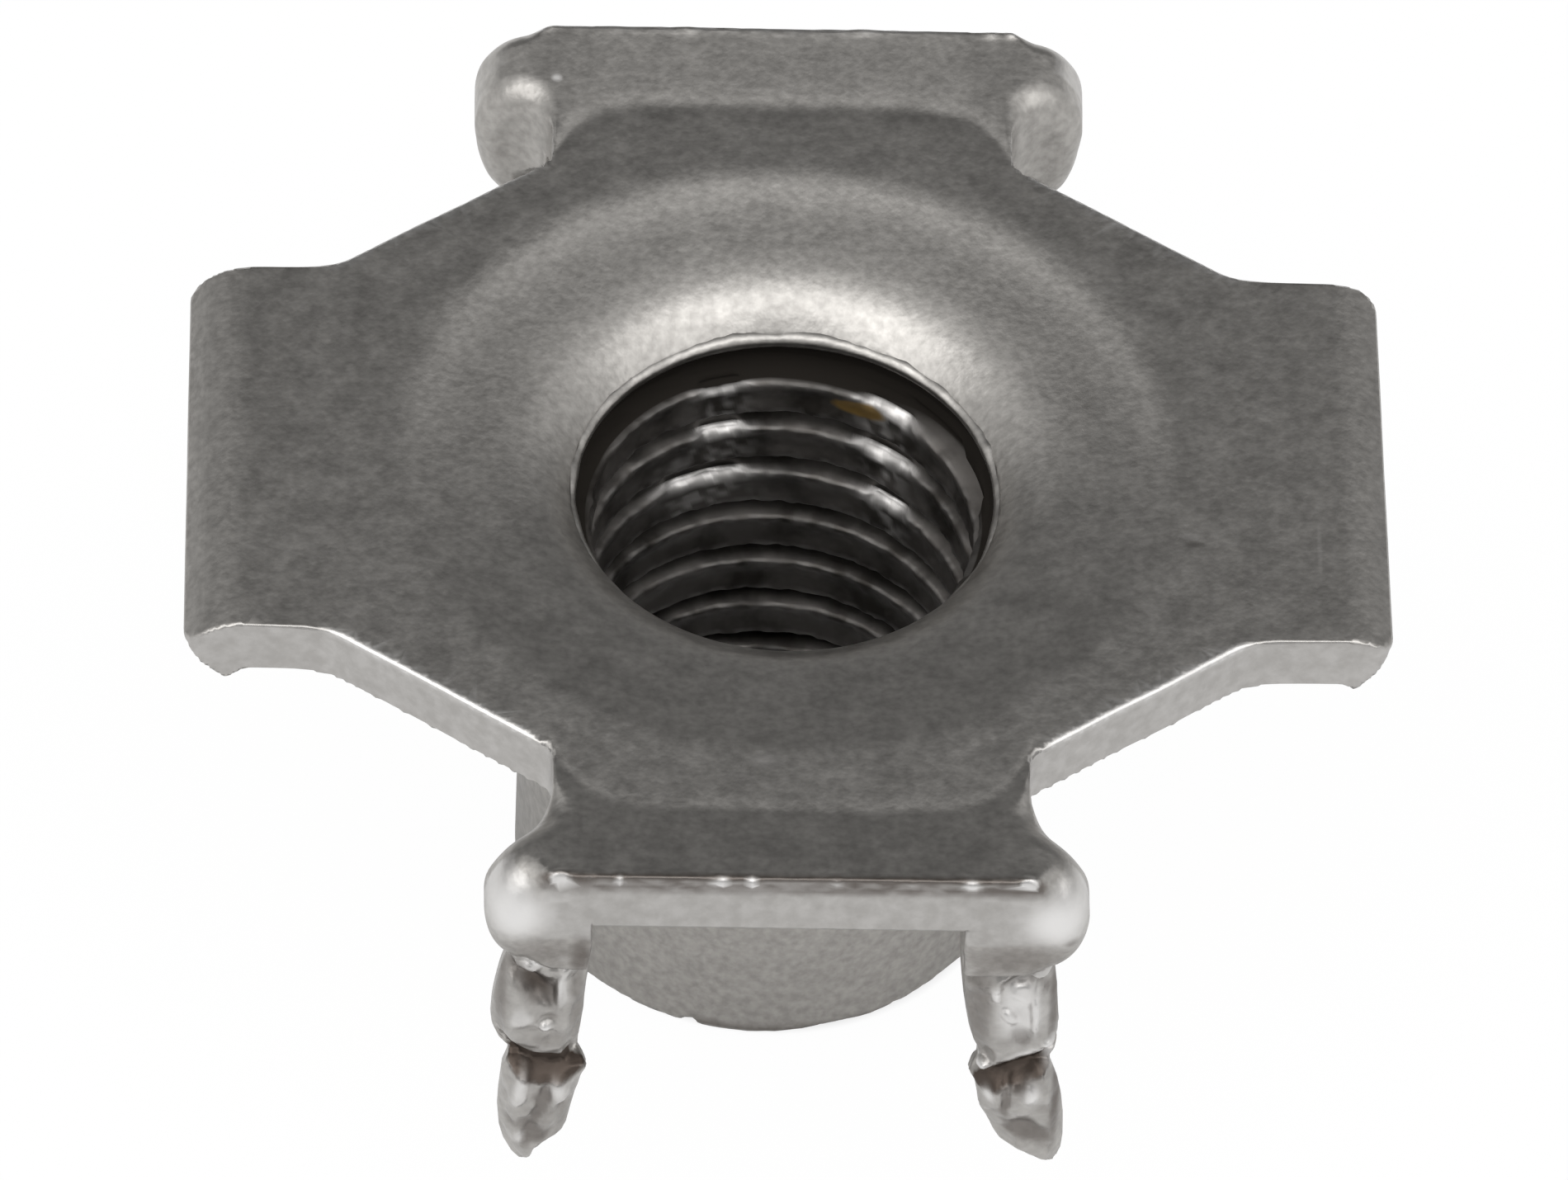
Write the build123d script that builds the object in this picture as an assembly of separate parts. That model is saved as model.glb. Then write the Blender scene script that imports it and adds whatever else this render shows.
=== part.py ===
from build123d import *
import os
from math import cos, radians, sin

# Four-pronged tee nut for an M10 coarse bolt, stamped and drawn from one piece of sheet steel.
# Lengths are in millimetres. The origin is the centre of the barrel's end, the thread's axis is Z,
# the flange is on top, the wings reach along X and the tabs along Y.

# Sheet and overall height
SHEET = 1.45                # thickness of the sheet
TOP = 13.35                 # flat top of the flange above the barrel's end
SPAN = 40.0                 # longer than the nut, for sections that are trimmed later

# Flange outline, a cross with slanted inner corners, measured from the thread's axis
WING_REACH = 13.45          # end of a wing
WING_HALF = 5.45            # half width of a wing at its end
WING_CORNER = 0.75          # corner radius of a wing
SHOULDER = (10.0, 5.72)     # where a wing's side turns into the slanted edge
SHOULDER_RADIUS = 1.6
NECK_HALF = 5.25            # half width of the neck between a wing and a tab
NECK_START = 9.0            # where the slanted edge meets the neck
NECK_RADIUS = 0.35
TAB_REACH = 12.95           # end of a tab, on the sheet's top face

# Wing lips, bent down as they leave the press
LIP_BEND_RADIUS = 0.3       # inner radius of the bend
LEFT_LIP_ANGLE, LEFT_LIP_LEG = 40.0, 0.48
RIGHT_LIP_ANGLE, RIGHT_LIP_LEG = 31.0, 0.28

# Tabs, tipped up beyond a crease
TAB_CREASE = 10.7           # distance of the crease from the thread's axis
TAB_TILT = 8.0              # degrees

# Dish, rolled throat and barrel, as radii and depths below the flange's top
DISH_EDGE = 8.5             # rim of the shallow dish
DISH_SLOPE_TOP = (8.15, 0.10)
DISH_SLOPE_END = (6.0, 0.48)
THROAT_MIDDLE = (5.30, 0.82)
THROAT_LIP = (4.82, 1.30)
BORE_RADIUS = 4.3           # crests of the M10 x 1.5 thread, whose helix is not cut here
BORE_START = 2.0            # depth at which the full thread begins
BARREL_RADIUS = 5.81
BARREL_ROOT = 3.0           # depth at which the barrel's straight wall begins
ROOT_MIDDLE = (6.03, 2.42)  # hollow between the barrel's wall and the dish's underside
UNDER_DISH = (6.65, 2.02)   # underside of the dish, beside the barrel
BARREL_EDGE = 0.3           # rounding at the barrel's outer end
BORE_CHAMFER = 0.25

# Shallow dips in the trimmed end of the barrel: angle about Z, width and depth
END_DIPS = ((-42.0, 6.0, 0.45), (-128.0, 1.6, 0.2), (-78.0, 2.2, 0.12))

# Bends that join the prongs to a tab, as distances from the middle plane and depths
KNUCKLE_START = 5.6         # where the rounded bend begins
KNUCKLE_RADIUS = 1.2        # outer radius of the bend
KNUCKLE_BOTTOM = 2.2        # the bend's flank stays upright down to here
KNUCKLE_END = 1.1           # depth to which the bend's front carries on the tab's cut end
KNUCKLE_CHIN = 1.9          # depth at which its front has run back to the prong's face
BENT_FLANK = (6.59, 2.9)    # the flank leans in towards the prong
PINCH = (6.28, 3.6)         # the bend bulges outward above this point

# Plan of a bend, as distances from the middle plane and from the thread's axis
FLARE_START = 10.55         # where the neck begins to widen into the bend
FLARE_HOLLOW = (5.52, 11.2)
FLARE_END = (6.1, 11.6)
KNUCKLE_SIDE = (6.64, 11.95)
KNUCKLE_TIP = (6.82, 12.45)
KNUCKLE_CORNER = (6.7, 12.92)
KNUCKLE_FRONT = (6.35, 13.12)
FRONT_LIMIT = 13.3          # beyond the tab's cut end

# Front view of a prong, as distances from the middle plane and depths
SHANK_TOP = (4.25, SHEET)   # inner side, where the shank leaves the sheet
SHANK_BELLY = (6.4, 5.0)    # outer side
SHANK_END = (6.33, 5.95)
BARB_NOTCH = (6.18, 6.2)
BARB_ROOT = (4.44, 6.3)     # inner side, above the barb
BARB = (4.32, 6.9)
POINT_INNER = (4.6, 7.65)
POINT_BELLY = (6.4, 8.2)
POINT_SHOULDER = (4.95, 9.35)
POINT_HOLLOW = (5.53, 9.8)  # the slanted cut across the point is hollow
PRONG_TIP = (5.88, 10.3)

# Side view and plan of a prong, as distances from the thread's axis and depths
PRONG_FACE = 12.75          # sheared face, towards the end of the tab
PRONG_BACK = 11.1           # its other face, towards the barrel
PRONG_DRAFT = 0.08          # each face has leaned in by this much where the notch begins
NOTCH_START = 6.0
NOTCH_END = 6.25
BARB_STEP = 0.2             # depth of the notch in each face
POINT_START = 7.8           # depth at which the faces begin to close on the point
POINT_DRAFT = 0.2
PRONG_TIP_WIDTH = 0.35
BEVEL = (0.5, 0.65)         # bevel on a prong's inner corner, half of it across and along the tab
BEVEL_EDGE = 4.8            # where that bevel meets the sheared face
OUTER_BEVEL = (1.8, 2.9)    # bevel on its outer corner, across and along
OUTER_BEVEL_FACE = 5.95     # where that bevel meets the sheared face
OUTER_BEVEL_DEPTH = 2.3     # it begins below the bend


def mirrored(points):
    """Close an outline from its points in the +X, +Y quarter, listed from the X axis to the Y axis."""
    quarter = list(points)
    left = [(-x, y) for x, y in reversed(quarter)]
    upper = quarter + left
    lower = [(x, -y) for x, y in reversed(upper)]
    return upper + lower


def corners_at(outline, spots, radius):
    """Round the corners of a flat outline that stand at the spots, mirrored into all four quarters."""
    chosen = [
        corner
        for corner in outline.vertices()
        if any(abs(abs(corner.X) - x) < 0.01 and abs(abs(corner.Y) - y) < 0.01 for x, y in spots)
    ]
    return fillet(chosen, radius)


def flange_outline():
    """Plan of the flange: a cross with slanted edges between its wings and tabs."""
    wing_corner = (WING_REACH, WING_HALF)
    neck = (NECK_HALF, NECK_START)
    tab_corner = (NECK_HALF, TAB_REACH + SHEET)
    outline = make_face(Polyline(*mirrored([wing_corner, SHOULDER, neck, tab_corner]), close=True))
    outline = corners_at(outline, [wing_corner], WING_CORNER)
    outline = corners_at(outline, [SHOULDER], SHOULDER_RADIUS)
    return corners_at(outline, [neck], NECK_RADIUS)


def bent_end(reach, angle, leg, thickness, bend_radius):
    """Section of a sheet's end, bent down and finishing at the given reach along +X."""
    turn = radians(angle)
    outer = bend_radius + thickness
    start = reach - outer * sin(turn) - leg * cos(turn)
    centre = (start, -outer)
    bend_top = (start + outer * sin(turn), outer * cos(turn) - outer)
    bend_low = (start + bend_radius * sin(turn), bend_radius * cos(turn) - outer)
    end_top = (bend_top[0] + leg * cos(turn), bend_top[1] - leg * sin(turn))
    end_low = (bend_low[0] + leg * cos(turn), bend_low[1] - leg * sin(turn))
    half = turn / 2
    top_middle = (centre[0] + outer * sin(half), centre[1] + outer * cos(half))
    low_middle = (centre[0] + bend_radius * sin(half), centre[1] + bend_radius * cos(half))
    return make_face(
        [
            Line((0, 0), (start, 0)),
            ThreePointArc((start, 0), top_middle, bend_top),
            Line(bend_top, end_top),
            Line(end_top, end_low),
            Line(end_low, bend_low),
            ThreePointArc(bend_low, low_middle, (start, -thickness)),
            Line((start, -thickness), (0, -thickness)),
            Line((0, -thickness), (0, 0)),
        ]
    )


def wing(angle, leg):
    """The sheet on the +X side of the thread's axis, with its lip bent down."""
    section = bent_end(WING_REACH, angle, leg, SHEET, LIP_BEND_RADIUS)
    sheet = extrude(Plane.XZ * section, amount=TAB_CREASE, both=True)
    return sheet & extrude(flange_outline(), amount=SPAN, both=True)


def tab():
    """The sheet on the +Y side, tipped up beyond its crease."""
    tilt = radians(TAB_TILT)
    rise = (TAB_REACH - TAB_CREASE) * sin(tilt) / cos(tilt)
    half_turn = SHEET * sin(tilt / 2) / cos(tilt / 2)
    end_top = (TAB_REACH, rise)
    end_low = (TAB_REACH + SHEET * sin(tilt), rise - SHEET * cos(tilt))
    crease_low = (TAB_CREASE + half_turn, -SHEET)
    section = make_face(
        Polyline((0, 0), (TAB_CREASE, 0), end_top, end_low, crease_low, (0, -SHEET), close=True)
    )
    sheet = extrude(Plane.YZ * section, amount=NECK_HALF, both=True)
    return sheet & extrude(flange_outline(), amount=SPAN, both=True)


def below(*spots):
    """Sketch points from distances and depths below the flange's top."""
    return [(distance, -depth) for distance, depth in spots]


def barrel():
    """Dish, rolled throat and barrel, drawn from the middle of the sheet."""
    slope_top, slope_end, throat, lip = below(DISH_SLOPE_TOP, DISH_SLOPE_END, THROAT_MIDDLE, THROAT_LIP)
    under, root_middle, root = below(UNDER_DISH, ROOT_MIDDLE, (BARREL_RADIUS, BARREL_ROOT))
    end = -TOP
    edge_start = (BARREL_RADIUS, end + BARREL_EDGE)
    edge_end = (BARREL_RADIUS - BARREL_EDGE, end)
    bulge = BARREL_EDGE * (1 - cos(radians(45)))
    edge_middle = (BARREL_RADIUS - bulge, end + bulge)
    section = make_face(
        [
            Line((DISH_EDGE, -SHEET), (DISH_EDGE, 0)),
            Line((DISH_EDGE, 0), slope_top),
            Line(slope_top, slope_end),
            ThreePointArc(slope_end, throat, lip),
            Line(lip, (BORE_RADIUS, -BORE_START)),
            Line((BORE_RADIUS, -BORE_START), (BORE_RADIUS, end + BORE_CHAMFER)),
            Line((BORE_RADIUS, end + BORE_CHAMFER), (BORE_RADIUS + BORE_CHAMFER, end)),
            Line((BORE_RADIUS + BORE_CHAMFER, end), edge_end),
            ThreePointArc(edge_end, edge_middle, edge_start),
            Line(edge_start, root),
            ThreePointArc(root, root_middle, under),
            Line(under, (DISH_EDGE, -SHEET)),
        ]
    )
    return revolve(Plane.XZ * section, Axis.Z)


def end_dip(angle, width, depth):
    """A shallow scallop across the barrel's end wall, at an angle about Z."""
    radius = ((width / 2) ** 2 + depth**2) / (2 * depth)
    middle = (BORE_RADIUS + BARREL_RADIUS) / 2
    roller = Plane.YZ * Circle(radius)
    roller = extrude(roller, amount=BARREL_RADIUS - BORE_RADIUS, both=True)
    roller = Pos(middle, 0, depth - radius - TOP) * roller
    return Rot(0, 0, angle) * roller


def prong_section():
    """Front view of a prong: its rounded bend, straight shank, barb and slanted point."""
    turn = radians(45)
    bend_top = (KNUCKLE_START, 0)
    bend_middle = (KNUCKLE_START + KNUCKLE_RADIUS * sin(turn), KNUCKLE_RADIUS * (cos(turn) - 1))
    bend_side = (KNUCKLE_START + KNUCKLE_RADIUS, -KNUCKLE_RADIUS)
    bend_low = (bend_side[0], -KNUCKLE_BOTTOM)
    flank, pinch, belly, shank_end = below(BENT_FLANK, PINCH, SHANK_BELLY, SHANK_END)
    notch, point_belly, tip, hollow = below(BARB_NOTCH, POINT_BELLY, PRONG_TIP, POINT_HOLLOW)
    shoulder, inner, barb, root = below(POINT_SHOULDER, POINT_INNER, BARB, BARB_ROOT)
    shank_top, sheet_low = below(SHANK_TOP, (0, SHEET))
    return make_face(
        [
            Line(sheet_low, (0, 0)),
            Line((0, 0), bend_top),
            ThreePointArc(bend_top, bend_middle, bend_side),
            Line(bend_side, bend_low),
            ThreePointArc(bend_low, flank, pinch),
            ThreePointArc(pinch, belly, shank_end),
            Line(shank_end, notch),
            ThreePointArc(notch, point_belly, tip),
            ThreePointArc(tip, hollow, shoulder),
            Line(shoulder, inner),
            Line(inner, barb),
            Line(barb, root),
            Line(root, shank_top),
            Line(shank_top, sheet_low),
        ]
    )


def tab_end(height):
    """Distance of a tab's cut end from the thread's axis, at a height above the flange's top."""
    lean = sin(radians(TAB_TILT)) / cos(radians(TAB_TILT))
    rise = (TAB_REACH - TAB_CREASE) * lean
    return TAB_REACH + (rise - height) * lean


def prong_side():
    """Side view of a prong: a bend flush with the tab's end, and a tooth notched for its barb."""
    middle = (PRONG_FACE + PRONG_BACK) / 2
    half = PRONG_FACE - middle
    tooth = [
        (half - PRONG_DRAFT, NOTCH_START),
        (half - PRONG_DRAFT - BARB_STEP, NOTCH_END),
        (half - POINT_DRAFT, POINT_START),
        (PRONG_TIP_WIDTH / 2, PRONG_TIP[1]),
    ]
    front = [(tab_end(SHEET), SHEET), (tab_end(-KNUCKLE_END), -KNUCKLE_END), (PRONG_FACE, -KNUCKLE_CHIN)]
    face = [(middle + out, -depth) for out, depth in tooth]
    back = [(middle - out, -depth) for out, depth in reversed(tooth)]
    return make_face(Polyline(*front, *face, *back, (PRONG_BACK, SHEET), close=True))


def prong_plan():
    """Plan of a tab's corner: hollow towards the neck, rounded outside and bevelled inside."""
    across, along = BEVEL
    hollow_start = (NECK_HALF, FLARE_START)
    bevel_foot = (BEVEL_EDGE - 2 * across, PRONG_FACE - 2 * along)
    overshoot = FRONT_LIMIT - PRONG_FACE
    bevel_end = (BEVEL_EDGE + overshoot * across / along, FRONT_LIMIT)
    return make_face(
        [
            Line((bevel_foot[0], FLARE_START), hollow_start),
            ThreePointArc(hollow_start, FLARE_HOLLOW, FLARE_END),
            ThreePointArc(FLARE_END, KNUCKLE_SIDE, KNUCKLE_TIP),
            ThreePointArc(KNUCKLE_TIP, KNUCKLE_CORNER, KNUCKLE_FRONT),
            Line(KNUCKLE_FRONT, (KNUCKLE_START, FRONT_LIMIT)),
            Line((KNUCKLE_START, FRONT_LIMIT), bevel_end),
            Line(bevel_end, bevel_foot),
            Line(bevel_foot, (bevel_foot[0], FLARE_START)),
        ]
    )


def outer_bevel():
    """What is taken off a prong's outer corner, towards the end of its tab, below the bend."""
    across, along = OUTER_BEVEL
    start = (OUTER_BEVEL_FACE, PRONG_FACE)
    far = (OUTER_BEVEL_FACE + across, PRONG_FACE - along)
    corner = (far[0], PRONG_FACE)
    plan = make_face(Polyline(start, far, corner, close=True))
    return Pos(0, 0, -OUTER_BEVEL_DEPTH) * extrude(plan, amount=-SPAN)


def prong():
    """The prong of the +X, +Y corner, with the bend that joins it to its tab."""
    tilt = radians(TAB_TILT)
    section = Plane.XZ.offset(-TAB_CREASE) * prong_section()
    shape = extrude(section, amount=PRONG_TIP[1], dir=(0, cos(tilt), sin(tilt)))
    shape &= extrude(Plane.YZ * prong_side(), amount=SPAN)
    shape &= extrude(prong_plan(), amount=SPAN, both=True)
    return shape - outer_bevel()


def tee_nut():
    """The whole nut: flange, barrel and four prongs in one solid."""
    sheet = wing(RIGHT_LIP_ANGLE, RIGHT_LIP_LEG)
    sheet += mirror(wing(LEFT_LIP_ANGLE, LEFT_LIP_LEG), Plane.YZ)
    sheet += tab() + mirror(tab(), Plane.XZ)
    sheet -= Cylinder(DISH_EDGE, SPAN)
    nut = sheet + barrel()
    corner = prong()
    for across in (corner, mirror(corner, Plane.YZ)):
        nut += across + mirror(across, Plane.XZ)
    for dip in END_DIPS:
        nut -= end_dip(*dip)
    return Pos(0, 0, TOP) * nut


os.makedirs("parts", exist_ok=True)
export_step(tee_nut(), "parts/tee_nut.step")
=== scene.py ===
"""Four-pronged tee nut for wood, stamped and drawn from one sheet of zinc-plated steel.

Lengths inside the classes are in millimetres. Heights are measured from the flat top of the
flange, the thread's axis is Z, the wings reach along X and the pronged tabs along Y. On a prong,
u runs across the tab, v along it and w is the height. Meshes are moved up by the nut's height and
scaled to metres when they are made. A depth field is negative inside the metal.
"""

import logging
import math
from dataclasses import dataclass, field
from enum import Enum
from typing import Callable, Sequence

import bmesh
import bpy
import numpy as np
from mathutils import Matrix, Vector


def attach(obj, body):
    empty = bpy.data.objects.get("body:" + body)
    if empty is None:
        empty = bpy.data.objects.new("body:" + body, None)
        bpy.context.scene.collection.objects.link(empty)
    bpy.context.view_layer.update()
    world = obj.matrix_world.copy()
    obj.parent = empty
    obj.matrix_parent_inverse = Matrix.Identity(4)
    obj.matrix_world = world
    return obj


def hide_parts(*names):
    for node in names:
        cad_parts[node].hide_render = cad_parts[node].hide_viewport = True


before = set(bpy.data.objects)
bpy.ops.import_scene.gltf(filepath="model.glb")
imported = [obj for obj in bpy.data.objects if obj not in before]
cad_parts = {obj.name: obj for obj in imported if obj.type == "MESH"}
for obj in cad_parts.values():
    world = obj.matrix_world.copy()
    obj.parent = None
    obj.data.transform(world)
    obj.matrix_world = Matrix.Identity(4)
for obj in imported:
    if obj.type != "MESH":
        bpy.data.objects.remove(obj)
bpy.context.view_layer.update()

LOG = logging.getLogger("tee_nut")
Array = np.ndarray
Point2 = tuple[float, float]
Point3 = tuple[float, float, float]
DepthField = Callable[[Array, Array, Array], Array]
Socket = bpy.types.NodeSocket

MM = 0.001
SHEET = 1.45
TOP = 13.35
TABLE_MARGIN = 0.9
RIPPLE_WAVES = 9


class Side(Enum):
    """The four corners of the flange that carry a prong, as signs along X and Y."""

    FRONT_LEFT = (-1, -1)
    FRONT_RIGHT = (1, -1)
    BACK_LEFT = (-1, 1)
    BACK_RIGHT = (1, 1)


class Zone(Enum):
    """Vertex attributes for a finish: which part of a piece it is on, and its painted shade and
    highlights.
    """

    SHEARED = "sheared"
    # Painted shade in hollows, dents, the prongs' slots and under their balls, mixed with tarnished
    # patches.
    SHADE_AND_TARNISH = "tarnish"
    # Painted highlights on beads, rolled edges, burrs, the prongs' bumps and facets, and the
    # thread's glints.
    PAINTED_HIGHLIGHT = "burnished"


def arc(centre: Point2, radius: float, start: float, end: float, steps: int) -> list[Point2]:
    """Points along an arc.

    Args:
        centre: Middle of the circle.
        radius: Its radius.
        start: First angle in degrees.
        end: Last angle in degrees.
        steps: Number of chords.

    Returns:
        The points from start to end, both included.
    """
    angles = np.radians(np.linspace(start, end, steps + 1))
    return [(centre[0] + radius * math.cos(a), centre[1] + radius * math.sin(a)) for a in angles]


def flowing(points: Sequence[Point2], steps: int) -> list[Point2]:
    """A smooth run through a few points.

    Args:
        points: The points that the run passes through.
        steps: Chords between two neighbours.

    Returns:
        Points along the run, both ends included.
    """
    run = np.array([points[0], *points, points[-1]], float)
    made: list[Point2] = []
    for i in range(1, len(run) - 2):
        a, b, c, d = run[i - 1 : i + 3]
        second, third = 2 * a - 5 * b + 4 * c - d, 3 * b - a - 3 * c + d
        for t in np.linspace(0, 1, steps, endpoint=False):
            spot = 0.5 * (2 * b + (c - a) * t + second * t**2 + third * t**3)
            made.append((float(spot[0]), float(spot[1])))
    return [*made, points[-1]]


def joined(a: Array, b: Array, fillet: float) -> Array:
    """Depth field of two bodies fused with a hollow fillet."""
    sharp = np.maximum(np.minimum(a, b), fillet)
    return sharp - np.hypot(np.maximum(fillet - a, 0), np.maximum(fillet - b, 0))


def trimmed(a: Array, b: Array, edge: Array | float) -> Array:
    """Depth field of what two bodies share, with its new edge rounded."""
    inside = np.minimum(np.maximum(a, b), -edge)
    return inside + np.hypot(np.maximum(a + edge, 0), np.maximum(b + edge, 0))


def eased(value: Array, low: float, high: float) -> Array:
    """Smooth ramp from 0 at low to 1 at high."""
    t = np.clip((value - low) / (high - low), 0, 1)
    return t * t * (3 - 2 * t)


class Outline:
    def __init__(self, points: Sequence[Point2], step: float = 0.02) -> None:
        """Measure the table.

        Args:
            points: Corners in order, without repeating the first.
            step: Spacing of the table.
        """
        corners = np.array(points, float)
        self.low, self.high = corners.min(0) - TABLE_MARGIN, corners.max(0) + TABLE_MARGIN
        self.step = step
        count = np.ceil((self.high - self.low) / step).astype(int) + 1
        a = self.low[0] + step * np.arange(count[0])[:, None]
        b = self.low[1] + step * np.arange(count[1])[None, :]
        nearest = np.full(tuple(count), 1e9)
        inside = np.zeros(tuple(count), bool)
        for (ax, ay), (bx, by) in zip(corners, np.roll(corners, -1, 0)):
            dx, dy = bx - ax, by - ay
            along = np.clip(((a - ax) * dx + (b - ay) * dy) / (dx * dx + dy * dy + 1e-12), 0, 1)
            gap = (a - ax - along * dx) ** 2 + (b - ay - along * dy) ** 2
            nearest = np.minimum(nearest, gap)
            if ay != by:
                inside ^= ((ay > b) != (by > b)) & (a < (bx - ax) * (b - ay) / (by - ay) + ax)
        self.table = np.where(inside, -1.0, 1.0) * np.sqrt(nearest)

    def depth(self, a: Array, b: Array) -> Array:
        """Distance from the outline.

        Args:
            a: First coordinates.
            b: Second coordinates, of the same shape.

        Returns:
            Distances, negative inside.
        """
        ca = np.clip(a, self.low[0], self.high[0] - 1e-6)
        cb = np.clip(b, self.low[1], self.high[1] - 1e-6)
        fa, fb = (ca - self.low[0]) / self.step, (cb - self.low[1]) / self.step
        ia = np.minimum(fa.astype(np.int32), self.table.shape[0] - 2)
        ib = np.minimum(fb.astype(np.int32), self.table.shape[1] - 2)
        fa, fb = fa - ia, fb - ib
        table, row = self.table.ravel(), self.table.shape[1]
        flat = ia * row + ib
        near = table[flat] * (1 - fb) + table[flat + 1] * fb
        far = table[flat + row] * (1 - fb) + table[flat + row + 1] * fb
        return near * (1 - fa) + far * fa + np.hypot(a - ca, b - cb)


class Ripple:
    """Smooth irregular waves in space, the same on each run."""

    def __init__(self, seed: int, wavelength: float) -> None:
        """Draw the waves.

        Args:
            seed: Number of this pattern.
            wavelength: Middle length of a wave.
        """
        draw = np.random.default_rng(seed)
        course = draw.normal(size=(RIPPLE_WAVES, 3))
        course /= np.linalg.norm(course, axis=1)[:, None]
        lengths = wavelength * draw.uniform(0.7, 1.5, (RIPPLE_WAVES, 1))
        self.course = course * (2 * math.pi / lengths)
        self.phase = draw.uniform(0, 2 * math.pi, RIPPLE_WAVES)

    def height(self, x: Array, y: Array, z: Array) -> Array:
        """Height of the pattern at points, mostly between -1 and 1.

        Args:
            x: Distances along the wings.
            y: Distances along the tabs.
            z: Heights from the top.

        Returns:
            One height for each point.
        """
        total = np.zeros_like(x)
        for (kx, ky, kz), phase in zip(self.course, self.phase):
            total += np.sin(kx * x + ky * y + kz * z + phase)
        return total * (1.6 / RIPPLE_WAVES)


@dataclass(frozen=True)
class Spot:
    """An oval place on a prong's front: its middle, half sizes, lean in degrees and strength."""

    u: float
    w: float
    half_u: float
    half_w: float
    lean: float = 0.0
    strength: float = 1.0

    def share(self, u: Array, w: Array) -> Array:
        """How much of the spot is felt at points.

        Args:
            u: Distances across the tab.
            w: Heights from the flange's top.

        Returns:
            The shares, the spot's strength in its middle and 0 well outside.
        """
        turn = math.radians(self.lean)
        du, dw = u - self.u, w - self.w
        a = (du * math.cos(turn) + dw * math.sin(turn)) / self.half_u
        b = (dw * math.cos(turn) - du * math.sin(turn)) / self.half_w
        return self.strength * np.exp(-0.9 * (a * a + b * b) ** 1.5)


def spots(*rows: tuple[float, ...]) -> tuple[Spot, ...]:
    """One spot for each row of numbers."""
    return tuple(Spot(*row) for row in rows)


@dataclass(frozen=True)
class Bead:
    """A bead of metal pushed up along the cut top edge of a tab."""

    y_sign: int
    x: float
    width: float
    height: float


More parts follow.
